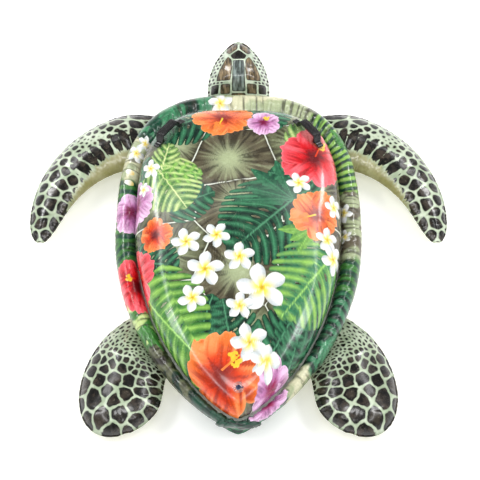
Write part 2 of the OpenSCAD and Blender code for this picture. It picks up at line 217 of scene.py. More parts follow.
# --------------------------------------------------------------------------- shader helper
class Shader:
    """The nodes of a material, or of the world when that is given."""

    def __init__(self, name, block=None):
        self.material = block or bpy.data.materials.new(name)
        self.material.use_nodes = True
        self.tree = self.material.node_tree
        self.surface = self.tree.nodes.get("Principled BSDF")

    def add(self, kind, settings=(), **inputs):
        node = self.tree.nodes.new(kind)
        for key, value in dict(settings).items():
            setattr(node, key, value)
        for key, value in inputs.items():
            self.put(node.inputs[int(key[1:]) if key[1:].isdigit() else key.replace("_", " ")], value)
        return node

    def put(self, socket, value):
        if isinstance(value, bpy.types.NodeSocket):
            self.tree.links.new(value, socket)
        elif isinstance(value, (tuple, list, np.ndarray)):
            alpha = (1.0,) if len(value) == 3 and socket.type == "RGBA" else ()
            socket.default_value = tuple(value) + alpha
        else:
            socket.default_value = value

    def attribute(self, name, out="Fac"):
        return self.add("ShaderNodeAttribute", {"attribute_name": name}).outputs[out]

    def place(self):
        return self.add("ShaderNodeTexCoord").outputs["Object"]

    def axis(self, name):
        return self.add("ShaderNodeSeparateXYZ", Vector=self.place()).outputs[name]

    def maths(self, operation, a, b=0.0):
        return self.add("ShaderNodeMath", {"operation": operation}, i0=a, i1=b).outputs[0]

    def ramp(self, value, low, high, start=0.0, end=1.0):
        return self.add("ShaderNodeMapRange", {"interpolation_type": "SMOOTHSTEP"}, Value=value, From_Min=low,
                        From_Max=high, To_Min=start, To_Max=end).outputs[0]

    def blend(self, factor, a, b, how="MIX"):
        node = self.add("ShaderNodeMix", {"data_type": "RGBA", "blend_type": how, "clamp_result": False})
        for k, value in ((0, factor), (6, a), (7, b)):
            self.put(node.inputs[k], value)
        return node.outputs[2]

    def noise(self, scale, detail=3.0, stretch=None):
        where = self.place()
        if stretch:
            where = self.add("ShaderNodeMapping", Vector=where, Scale=stretch).outputs[0]
        return self.add("ShaderNodeTexNoise", Vector=where, Scale=scale, Detail=detail,
                        Roughness=0.55).outputs["Fac"]

    def mottled(self, scale, detail, low, high, a, b):
        """Colour a with patches of colour b where noise passes from low to high."""
        return self.blend(self.ramp(self.noise(scale, detail), low, high), a, b)

    def cells(self, scale, randomness):
        """Distance to the edges of irregular cells."""
        return self.add("ShaderNodeTexVoronoi", {"feature": "DISTANCE_TO_EDGE"}, Scale=scale,
                        Randomness=randomness, Vector=self.place()).outputs["Distance"]

    def vinyl(self, colour, roughness, coat, bump=0.12, scale=60.0):
        """Glossy plasticised film: a print under a clear coat, with faint unevenness."""
        s = self.surface
        cloudy = self.ramp(self.noise(9.0, 4.0), 0.35, 0.65, 0.0, 0.12)
        tint = self.blend(cloudy, colour, (1, 1, 1), "OVERLAY")
        self.put(s.inputs["Base Color"], tint)
        uneven = self.ramp(self.noise(28.0), 0.3, 0.7, roughness - 0.05, roughness + 0.07)
        self.put(s.inputs["Roughness"], uneven)
        s.inputs["Specular IOR Level"].default_value = 0.4
        s.inputs["Coat Weight"].default_value = coat
        s.inputs["Coat Roughness"].default_value = 0.1
        s.inputs["Coat IOR"].default_value = 1.5
        fine = self.add("ShaderNodeBump", Strength=bump, Distance=0.001,
                        Height=self.noise(scale, 4.0)).outputs[0]
        broad = self.add("ShaderNodeBump", Strength=bump, Distance=0.004,
                         Height=self.noise(11.0, 2.0), Normal=fine).outputs[0]
        self.put(s.inputs["Normal"], broad)
        self.put(s.inputs["Coat Normal"], broad)
        return self.material


# --------------------------------------------------------------------------- print painters
# A painter takes places round its own centre and gives (how far inside the outline, colour) at each.
def plumeria(u, v, r):
    """Five pointed oval petals that overlap one way round, with a yellow star in the middle."""
    best = np.full(u.shape, -1e9)
    behind = np.full(u.shape, -1e9)
    inside = np.full(u.shape, -1e9)
    across = np.zeros(u.shape)
    for k in range(5):
        p, q = turned(u, v, 72 * k + 5 * hashed(k, 3, r))
        q = q - 0.1 * r * np.sin(2.6 * p / r)
        t = np.clip(p / r, 0, 1)
        wide = r * 0.53 * t ** 0.66 * np.maximum(1 - t ** 2.9, 0) ** 0.72 + 1e-3
        d = np.where(p > 0, (wide - np.abs(q)) * 0.8, -np.hypot(p, q))
        score = np.where(d > 0, d + 0.35 * q, -1e6 + d)
        take = score > best
        behind = np.where(take, best, np.maximum(behind, score))
        across = np.where(take, q / wide, across)
        best = np.where(take, score, best)
        inside = np.maximum(inside, d)
    rad = np.hypot(u, v) / r
    white = mix(rgb("fbfcfa"), rgb("b4c0c6"), smooth(-0.1, 1.0, -across) * 0.8)
    seam = np.where(behind > -1e5, np.exp(-np.maximum(best - behind, 0) / (0.05 * r)), 0)
    white = mix(white, rgb("7d8788"), 0.75 * seam * smooth(0.12, 0.35, rad))
    star = rad + 0.14 * across + 0.1 * np.abs(across)
    colour = mix(white, rgb("f8e04a"), smooth(0.66, 0.14, star) ** 1.3)
    colour = mix(colour, rgb("c48a10"), smooth(0.15, 0.03, rad) * 0.85)
    return inside, mix(colour, rgb("b9c0b4"), 0.5 * smooth(0.05 * r, 0, inside) * smooth(0.3, 0.6, rad))


def bud(u, v, r):
    d = (1 - np.hypot(u / r, v / (0.55 * r))) * 0.5 * r
    return d, mix(rgb("f6f5e8"), rgb("f3cf45"), smooth(0.2 * r, -0.7 * r, u) * 0.8)


def hibiscus(u, v, r, heart, middle, edge, seed):
    """Broad ruffled petals that overlap, each with folds that run out from a dark heart."""
    best = np.full(u.shape, -1e9)
    inside = np.full(u.shape, -1e9)
    colour = np.zeros(u.shape + (3,)) + middle
    for k in range(5):
        p, q = turned(u, v, 72 * k + 16 * (hashed(k, 1, seed) - 0.5))
        long = r * (0.9 + 0.16 * hashed(k, 2, seed))
        t = np.clip(p / long, 0, 1)
        side = q / r
        edge_wave = 0.045 * np.sin(15 * side + 2 * k + seed) + 0.03 * np.sin(31 * side + seed * k)
        out = long * (1 - 0.5 * side ** 2 + edge_wave)
        wide = r * (0.10 + 0.58 * t ** 0.8) * np.maximum(1.03 - t ** 4, 0) ** 0.5
        d = np.minimum(wide - np.abs(q), (out - p) * 0.9)
        d = np.where(p < -0.05 * r, -np.hypot(p, q), d)
        height = 0.3 * np.minimum(d, 0.1 * r) + 0.55 * q + 0.08 * r * hashed(k, 5, seed)
        score = np.where(d > 0, height, -1e6 + d)
        vein = fbm(side * 13 + 5 * k + 60, t * 1.5 + seed, seed + k, 4)
        tone = mix(middle, edge, smooth(0.3, 1.0, t))
        pale = 0.75 * smooth(0.52, 0.3, vein) * smooth(0.25, 0.7, t)
        tone = mix(tone, np.clip(edge * 1.3 + 0.06, 0, 1), pale)
        tone = mix(tone, middle * 0.42, 0.8 * smooth(0.5, 0.72, vein) * smooth(1.0, 0.55, t))
        tone = mix(tone, heart, smooth(0.42, 0.06, t + 0.3 * (vein - 0.5)))
        fold = np.exp(-((q - 0.05 * r * np.sin(3 * t + k)) / (0.028 * r)) ** 2)
        tone = mix(tone, heart * 0.75, 0.6 * fold * smooth(0.85, 0.3, t))
        tone = mix(tone, middle * 0.3, 0.7 * smooth(0.09 * r, 0.0, d) * (q < 0) * smooth(1, 0.6, t))
        tone = mix(tone, np.clip(edge * 1.4 + 0.1, 0, 1), 0.7 * smooth(0.045 * r, 0, d) * smooth(0.4, 0.7, t))
        take = score > best
        best = np.where(take, score, best)
        inside = np.maximum(inside, d)
        colour = np.where(take[..., None], tone, colour)
    return inside, colour


def stamen(u, v, length, width, stalk, tip):
    """A flower's column with a brush of specks at its end."""
    d = width * (1 - 0.4 * u / length) - np.abs(v) - 2 * np.maximum(-u, 0) - 2 * np.maximum(u - length, 0)
    colour = mix(stalk, tip, smooth(0.3 * length, length, u))
    for k in range(22):
        x, y = length * (0.5 + 0.62 * hashed(k, 1, 3)), length * 0.3 * (2 * hashed(k, 2, 5) - 1)
        size = 1.5 * width * (0.6 + 0.6 * hashed(k, 3, 7))
        e = size - np.hypot(u - x, v - y)
        colour = np.where((e > d)[..., None], np.asarray(tip)[None], colour)
        d = np.maximum(d, e)
    return d, colour


def monstera(u, v, length, width, dark, light, seed, pitch=0.17, cut=0.34, slant=0.7):
    """A split leaf with its stalk at the origin and its tip at u = length."""
    x, a = u / length, np.abs(v)
    q = x - slant * (a / width) ** 1.6 * width / length
    span = np.clip(x, 0, 1)
    w = width * np.maximum(1 - (2 * span - 0.74) ** 2 / 1.62, 0) ** 0.6
    w = w * np.where(x < 0, smooth(-0.15, 0.02, x), 1)
    phase = q / pitch + np.where(v > 0, 0.0, 0.5) + 0.18 * np.sin(6 * x + seed)
    near = np.abs(phase - np.floor(phase) - 0.5) * 2          # 1 in a split, 0 on a vein
    share = a / np.maximum(w, 1e-3)
    finger = w * (0.78 + 0.22 * np.sqrt(np.clip(1 - near ** 3, 0, 1)))
    body = np.minimum(finger - a, np.minimum(x + 0.15, 1.02 - x) * length * 0.6)
    start = cut + 0.36 * hashed(np.round(phase), np.where(v > 0, 2.0, 3.0), seed)
    gap = 0.3 * smooth(start - 0.1, 1.15, share) - 0.07 * smooth(start + 0.1, start - 0.1, share)
    d = np.minimum(body, (1 - gap - near) * pitch * length * 0.42)
    hole = 1 - np.sqrt(((share - 0.21) / 0.09) ** 2 + ((1 - near) / 0.3) ** 2)
    keep = hashed(np.floor(phase), np.where(v > 0, 0.0, 1.0), seed + 4) > 0.3
    d = np.where((hole > 0) & keep & (x > 0.08) & (x < 0.82), -hole * 6.0, d)
    mottle = fbm(u / 26, v / 26, seed) - 0.5
    lit = 0.5 + 0.5 * np.sin(np.pi * (phase - np.floor(phase) - 0.25) * 2)
    strokes = fbm(phase * 9 + 40, share * 1.6, seed + 2, 3)
    shade = 0.08 + 0.75 * lit * smooth(0.9, 0.3, near) * smooth(0.0, 0.35, share) + mottle
    shade = shade + 0.9 * (strokes - 0.5)
    colour = mix(dark, light, np.clip(shade, 0, 1))
    vein = np.exp(-(near * pitch * length / 2 / 1.8) ** 2)
    colour = mix(colour, np.clip(light * 1.35 + 0.03, 0, 1), 0.6 * vein * smooth(1.0, 0.3, share))
    rib = np.exp(-(a / (1.6 + 2.2 * (1 - span))) ** 2) * smooth(-0.2, 0, x)
    colour = mix(colour, np.clip(light * 1.6 + 0.05, 0, 1), 0.85 * rib)
    return d, mix(colour, dark * 0.3, 0.75 * np.exp(-np.clip(d, 0, 99) / 2.6))


def fronds(u, v, length, width, dark, light, count, spread, seed):
    """A fan of long pointed leaflets from the origin."""
    best = np.full(u.shape, -1e9)
    colour = np.zeros(u.shape + (3,)) + dark
    for k in range(count):
        angle = spread * (2 * k / (count - 1) - 1) + 8 * (hashed(k, 1, seed) - 0.5)
        long = length * (0.75 + 0.35 * hashed(k, 2, seed)) * math.cos(math.radians(angle * 0.6))
        p, q = turned(u, v, angle)
        q = q - 0.1 * p * math.sin(math.radians(angle)) * p / long
        w = width * np.sin(np.pi * np.clip(p / long, 0, 1) ** 0.75) ** 0.8
        d = np.minimum(w - np.abs(q), np.minimum(p + 1, long - p))
        shade = 0.35 + 0.5 * q / width + 0.5 * (noise(p / 9, q / 3, seed + k) - 0.5)
        tone = mix(dark, light, np.clip(shade, 0, 1))
        tone = mix(tone, np.clip(np.asarray(light) * 1.4, 0, 1), 0.8 * np.exp(-(q / 1.3) ** 2))
        take = d > best
        best = np.where(take, d, best)
        colour = np.where(take[..., None], tone, colour)
    return best, colour


class Canvas:
    """Layers of print over design places, each with a distance inside its shapes and a colour."""
    REACH = 45.0

    def __init__(self, x, y, layers):
        self.x, self.y = x, y
        self.inside = {n: np.full(x.shape, -self.REACH) for n in layers}
        self.colour = {n: np.full(x.shape + (3,), 0.2) for n in layers}

    def stamp(self, layer, painter, cx, cy, turn, size, *args, squash=1.0, **kw):
        u, v = turned(self.x - cx, (self.y - cy) / squash, turn)
        near = np.hypot(u, v) < size * 1.5 + self.REACH
        if not near.any():
            return
        d, colour = painter(u[near], v[near], size, *args, **kw)
        old = self.inside[layer][near]
        take = d > old
        self.inside[layer][near] = np.where(take, d, old)
        self.colour[layer][near] = np.where(take[..., None], colour, self.colour[layer][near])

    def write(self, ob):
        for n in self.inside:
            give(ob, "in_" + n, np.clip(self.inside[n], -12, 12))
            give(ob, "col_" + n, np.clip(self.colour[n], 0, 1))


def printed(name, layers, roughness):
    """Vinyl printed with the layers of a canvas over the colour attribute 'ground'."""
    s = Shader(name)
    colour = s.attribute("ground", "Color")
    for n in layers:
        factor = s.ramp(s.attribute("in_" + n), -0.7, 0.7)
        colour = s.blend(factor, colour, s.attribute("col_" + n, "Color"))
    speck = s.ramp(s.noise(160.0, 2.0), 0.3, 0.7, 0.92, 1.06)
    grey = s.add("ShaderNodeCombineColor", i0=speck, i1=speck, i2=speck).outputs[0]
    return s.vinyl(s.blend(1.0, colour, grey, "MULTIPLY"), roughness, 0.6)


# --------------------------------------------------------------------------- colours
OLIVE, OLIVE_PALE = rgb("62654a"), rgb("a9b48c")
BROWN, BROWN_DARK = rgb("5f5644"), rgb("241f17")
LEAF_DEEP, LEAF_DARK, LEAF_MID = rgb("062b20"), rgb("0d4430"), rgb("3a7f58")
LEAF_LIGHT, LEAF_LIME, LEAF_PALE = rgb("3f7d36"), rgb("8fbf58"), rgb("c3d98a")
RED, RED_DARK, RED_LIGHT = rgb("dc0f1c"), rgb("6c0610"), rgb("f65560")
ORANGE, ORANGE_DARK, ORANGE_LIGHT = rgb("e63c0a"), rgb("8a1606"), rgb("fa8038")
CORAL = rgb("f0673a")
PINK, PINK_DARK, PINK_LIGHT = rgb("c67bb4"), rgb("7a0a3c"), rgb("e6b6da")
YELLOW = rgb("f4c832")
CREAM = rgb("d8d6b0")
MINT, MINT_SHADE = rgb("cfdcc2"), rgb("a3b396")
SCALE_DARK, SCALE_BROWN = rgb("0d0c0a"), rgb("393129")
STRAW = rgb("a9a57c")

FLOWER_LAYERS = ("line", "leaf_a", "leaf_b", "flower_a", "flower_b", "flower_c")


# --------------------------------------------------------------------------- carapace dome
def scute_ground(x, y):
    """Shell plates with streaks that run out from each plate's own middle. Gives colour and line distance."""
    centres = [(-36, 190, 1.0), (0, -5, 0.95), (0, -290, 0.95), (5, -520, 0.8), (0, -690, 0.6),
               (-20, 440, 0.7)]
    for side in (-1, 1):
        centres += [(side * cx, cy, k) for cx, cy, k in (
            (245, 270, 0.9), (270, 40, 1.0), (262, -210, 1.0), (232, -440, 0.9), (150, -625, 0.8),
            (170, 450, 0.7))]
    warp_x = x + 14 * (fbm(x / 90, y / 90, 3) - 0.5)
    warp_y = y + 14 * (fbm(x / 90, y / 90, 5) - 0.5)
    d = np.stack([np.hypot((warp_x - cx) / (1.15 if abs(cx) < 50 else 0.95), warp_y - cy) / k
                  for cx, cy, k in centres])
    order = np.argsort(d, axis=0)[:2]
    first, second = np.take_along_axis(d, order, 0)
    cx = np.array([c[0] for c in centres])[order[0]]
    cy = np.array([c[1] for c in centres])[order[0]]
    ang, rad = np.arctan2(y - cy, x - cx), np.hypot(x - cx, y - cy)
    streak = fbm(ang * 11 + cx, rad / 90, 7, 4)
    tone = mix(OLIVE, BROWN, smooth(0.35, 0.7, hashed(cx, cy, 3)) * 0.8)
    colour = mix(tone, OLIVE_PALE, np.clip(1.1 * smooth(110, 10, rad) * (0.45 + streak), 0, 1))
    colour = mix(colour, BROWN_DARK, 0.75 * smooth(0.48, 0.68, streak) * smooth(15, 60, rad))
    colour = mix(colour, OLIVE_PALE, 0.45 * smooth(0.42, 0.25, streak))
    edge = (second - first) / 2
    colour = mix(colour, BROWN_DARK, 0.55 * smooth(16, 2, edge))
    return colour, 2.2 - edge


def dome_print(x, y):
    """The printed layout of the shell: plates, then leaves, then flowers."""
    c = Canvas(x, y, FLOWER_LAYERS)
    ground, line = scute_ground(x, y)
    c.inside["line"] = line
    c.colour["line"] = np.zeros(x.shape + (3,)) + rgb("dfe4d4")
    s = c.stamp
    # leaves at the back of the layout
    s("leaf_a", monstera, -120, 420, 205, 230, 120, LEAF_DEEP, LEAF_MID, seed=2)
    s("leaf_a", monstera, 185, -5, 224, 300, 185, LEAF_DEEP, LEAF_MID, pitch=0.15, cut=0.3, slant=0.9, seed=3)
    s("leaf_a", fronds, 205, 10, 150, 235, 34, LEAF_DARK, LEAF_MID, count=4, spread=34, seed=4)
    s("leaf_a", monstera, 300, 95, 170, 190, 80, LEAF_DARK, LEAF_MID, seed=12)
    s("leaf_a", monstera, -20, -600, 100, 205, 120, LEAF_DEEP, LEAF_MID, seed=5)
    s("leaf_a", monstera, 200, -640, 80, 220, 100, LEAF_DEEP, LEAF_MID, seed=6)
    s("leaf_a", monstera, -150, -560, 72, 190, 95, LEAF_DEEP, LEAF_MID, pitch=0.19, seed=14)
    s("leaf_a", monstera, 90, -640, 60, 260, 105, LEAF_DEEP, LEAF_MID, pitch=0.15, seed=15)
    s("leaf_a", monstera, -255, -20, 20, 175, 90, LEAF_DARK, LEAF_MID, pitch=0.2, cut=0.2, seed=16)
    s("leaf_a", monstera, -260, 330, 175, 120, 80, LEAF_DEEP, LEAF_MID, seed=17)
    s("leaf_a", monstera, -330, -520, -50, 240, 120, LEAF_DEEP, LEAF_MID, seed=7)
    s("leaf_a", monstera, -395, -210, -20, 190, 110, LEAF_DEEP, LEAF_MID, seed=8)
    s("leaf_a", monstera, 70, 520, -70, 200, 110, LEAF_DARK, LEAF_MID, seed=9)
    s("leaf_a", monstera, 420, -420, 200, 240, 120, LEAF_DEEP, LEAF_MID, seed=10)
    s("leaf_a", monstera, -450, 120, -10, 180, 110, LEAF_DARK, LEAF_MID, seed=11)
    s("leaf_a", monstera, 470, 330, 200, 220, 120, LEAF_DARK, LEAF_LIGHT, seed=13)
    # lighter leaves on top
    s("leaf_b", monstera, -290, 150, 78, 130, 62, LEAF_LIGHT, LEAF_PALE, pitch=0.22, cut=0.2, seed=5)
    s("leaf_b", monstera, -300, 150, -58, 205, 128, LEAF_LIGHT, LEAF_PALE,
      pitch=0.17, cut=0.14, slant=1.1, seed=3)
    s("leaf_b", monstera, -300, 135, -4, 165, 60, LEAF_LIGHT, LEAF_LIME,
      pitch=0.2, cut=0.2, slant=0.5, seed=6)
    s("leaf_b", monstera, 235, 250, 60, 240, 95, LEAF_LIGHT, LEAF_PALE, pitch=0.16, cut=0.25, seed=7)
    s("leaf_b", fronds, 275, -105, 212, 135, 24, LEAF_LIGHT, LEAF_LIME, count=3, spread=26, seed=8)
    s("leaf_b", monstera, 335, -225, 232, 300, 158, LEAF_MID, LEAF_LIME, pitch=0.14, cut=0.28, seed=9)
    s("leaf_b", monstera, -375, -345, -48, 345, 185, LEAF_LIGHT, LEAF_LIME, pitch=0.13, cut=0.26, seed=10)
    s("leaf_b", fronds, -120, -655, 200, 120, 18, LEAF_LIGHT, LEAF_LIME, count=4, spread=40, seed=12)
    # large flowers
    s("flower_a", hibiscus, -60, 405, 100, 112, ORANGE_DARK, CORAL, ORANGE_LIGHT, squash=0.85, seed=2)
    s("flower_a", hibiscus, 95, 378, 40, 66, PINK_DARK, PINK, PINK_LIGHT, seed=3)
    s("flower_a", hibiscus, 292, 212, 15, 142, RED_DARK, RED, RED_LIGHT, seed=4)
    s("flower_a", hibiscus, 285, -48, 60, 104, ORANGE_DARK, CORAL, ORANGE_LIGHT, seed=5)
    s("flower_a", hibiscus, -410, 22, 30, 92, PINK_DARK, PINK, PINK_LIGHT, seed=6)
    s("flower_a", hibiscus, -306, -130, 20, 68, RED_DARK, ORANGE, ORANGE_LIGHT, seed=7)
    s("flower_a", hibiscus, -430, -268, 10, 118, RED_DARK, RED, RED_LIGHT, seed=8)
    s("flower_a", hibiscus, -62, -675, 75, 158, ORANGE_DARK, ORANGE, ORANGE_LIGHT, seed=9)
    s("flower_a", hibiscus, 150, -688, 35, 92, PINK_DARK * 1.6, PINK, PINK_LIGHT, seed=10)
    # columns and specks
    s("flower_b", stamen, 292, 212, 60, 78, 4, ORANGE, YELLOW)
    s("flower_b", stamen, -60, 405, 250, 60, 3.5, YELLOW, ORANGE_LIGHT)
    s("flower_b", stamen, 95, 378, 70, 34, 2.5, PINK_DARK, YELLOW)
    s("flower_b", stamen, -62, -655, 40, 84, 4.5, ORANGE_LIGHT, YELLOW)
    s("flower_b", stamen, 285, -48, 200, 55, 3.5, YELLOW, ORANGE_LIGHT)
    s("flower_b", stamen, 150, -688, 20, 44, 3, PINK_DARK, PINK_LIGHT)
    # small white flowers
    for px, py, r, turn in ((-338, 155, 44, 10), (-190, -167, 57, 25), (-120, -279, 70, 5), (226, 86, 48, 30),
                            (331, -145, 50, 12), (84, -351, 93, 20), (40, -553, 70, 28), (-370, 70, 30, 50)):
        s("flower_b", plumeria, px, py, turn, r)
    for px, py, r, turn in ((-80, -143, 52, 50), (4, -232, 58, 12), (-164, -387, 54, 40), (5, -420, 52, 8),
                            (367, -3, 46, 22), (362, -212, 60, 44), (96, -623, 62, 2)):
        s("flower_c", plumeria, px, py, turn, r)
    return c, ground


def carapace():
    cols = 720
    t, arc, total = even_turns(cols, DOME[0] - 30, DOME[1] - 30, DOME[2] - 30, DOME_POWER)

    def ring(inset, rise, scale=1.0):
        x, y = egg(t, DOME[0] - inset, DOME[1] - inset, DOME[2] - inset, DOME_POWER)
        x, y = x * scale, WIDEST_Y + (y - WIDEST_Y) * scale
        return np.stack([x, y, DECK_Z + WALL + rise * fall(y)], -1)

    rings, down = [], []
    crown = DOME_RISE - FOOT_RISE - SHOULDER_HEIGHT
    for k in np.linspace(0.02, 1, 84)[:-1]:
        rings.append(ring(SHOULDER, FOOT_RISE + SHOULDER_HEIGHT + crown * (1 - k * k), k))
        down.append(k - 1.0)
    for a in np.linspace(90, 0, 37):
        c, s = math.cos(math.radians(a)), math.sin(math.radians(a))
        rings.append(ring(SHOULDER * (1 - c), FOOT_RISE + SHOULDER_HEIGHT * s))
        down.append(math.radians(90 - a) * 97)
    for a in np.linspace(0, -FOOT_TURN, 15)[1:]:
        c, s = math.cos(math.radians(a)), math.sin(math.radians(a))
        rise = 0 if a == -FOOT_TURN else FOOT_RISE + FOOT_HEIGHT * s
        rings.append(ring(FOOT_DEPTH * (1 - c), max(rise, 0)))
        down.append(math.radians(90) * 97 + math.radians(-a) * 50)
    p = np.stack(rings)
    down = np.array(down)
    # the crown runs into the shoulder without a crease
    soften = smooth(58, 78, np.arange(len(rings))) * smooth(108, 92, np.arange(len(rings)))
    for _ in range(120):
        p[1:-1] += (0.5 * soften[1:-1])[:, None, None] * ((p[:-2] + p[2:]) / 2 - p[1:-1])
    # design places: flat over the crown, unrolled outwards over the shoulder and the foot
    ex, ey = egg(t, DOME[0] - SHOULDER, DOME[1] - SHOULDER, DOME[2] - SHOULDER, DOME_POWER)
    dx, dy = np.roll(ex, -1) - np.roll(ex, 1), np.roll(ey, -1) - np.roll(ey, 1)
    length = np.hypot(dx, dy)
    nx, ny = dy / length, -dx / length
    out = np.maximum(down, 0)[:, None] * fall(ey)[None, :]
    on_crown = (down < 0)[:, None]
    ux = np.where(on_crown, p[..., 0], ex[None] + nx[None] * out)
    uy = np.where(on_crown, p[..., 1], ey[None] + ny[None] * out)
    # film: folds that run up from the weld, and a soft unevenness
    n = grid_normals(p, wrap_cols=True)
    if n[40, 0, 2] < 0:
        n = -n
    total_down = down[-1]
    inward = np.broadcast_to((total_down - np.maximum(down, 0))[:, None], p.shape[:2])
    folds = creases(arc[None, :], inward, total, 11, 62, 120, 9, 2.6)
    soft = (fbm(ux / 150, uy / 150, 21, 2) - 0.5) * 4.0
    held = smooth(-1, 25, total_down - np.maximum(down, 0))[:, None, None]
    p = p + n * (soft - folds * smooth(0, 30, inward + 12))[..., None] * held
    pts = np.concatenate([p.reshape(-1, 3), p[0].mean(0, keepdims=True)])
    rows = len(rings)
    faces = [tuple(f) for f in grid_faces(rows, cols, wrap_cols=True, flip=True)]
    faces += [(rows * cols, j, (j + 1) % cols) for j in range(cols)]
    c, ground = dome_print(np.append(ux.ravel(), ux[0].mean()), np.append(uy.ravel(), uy[0].mean()))
    material = printed("carapace_vinyl", FLOWER_LAYERS, 0.25)
    ob = make("carapace", pts, faces, [(material, len(faces))])
    c.write(ob)
    give(ob, "ground", ground)
    return ob


# --------------------------------------------------------------------------- rim tube
def tube_radius(t):
    s = np.sin(t)
    return 42 + 10 * np.maximum(0, s) ** 3 - 20 * np.maximum(0, -s) ** 6


RIM_LAYERS = ("leaf_a", "leaf_b", "flower_a", "flower_b")
# start angle, two colours and how many stripes in every 100 mm, anticlockwise from the right side
RIM_BANDS = [(-5, OLIVE_PALE, BROWN, 1.1), (8, LEAF_DARK, LEAF_LIME, 3.2), (56, OLIVE, OLIVE_PALE, 0.6),
             (62, CREAM, OLIVE_PALE, 0.2), (96, LEAF_DEEP, LEAF_MID, 0.8),
             (134, LEAF_DARK, LEAF_MID, 1.2), (146, CREAM, OLIVE_PALE, 0.8), (160, OLIVE_PALE, CREAM, 0.8),
             (168, LEAF_LIGHT, LEAF_DARK, 2.6), (185, LEAF_DARK, LEAF_LIGHT, 2.6), (192, RED_DARK, RED, 0.7),
             (205, LEAF_LIGHT, LEAF_PALE, 1.4), (218, BROWN_DARK, OLIVE, 1.5), (228, LEAF_DEEP, OLIVE, 1.2),
             (240, LEAF_DEEP, LEAF_DARK, 1.0), (285, LEAF_DEEP, LEAF_MID, 1.2), (300, OLIVE_PALE, CREAM, 0.7),
             (313, LEAF_DEEP, LEAF_MID, 2.8), (338, LEAF_DARK, LEAF_LIGHT, 2.2),
             (350, OLIVE_PALE, BROWN, 1.1)]


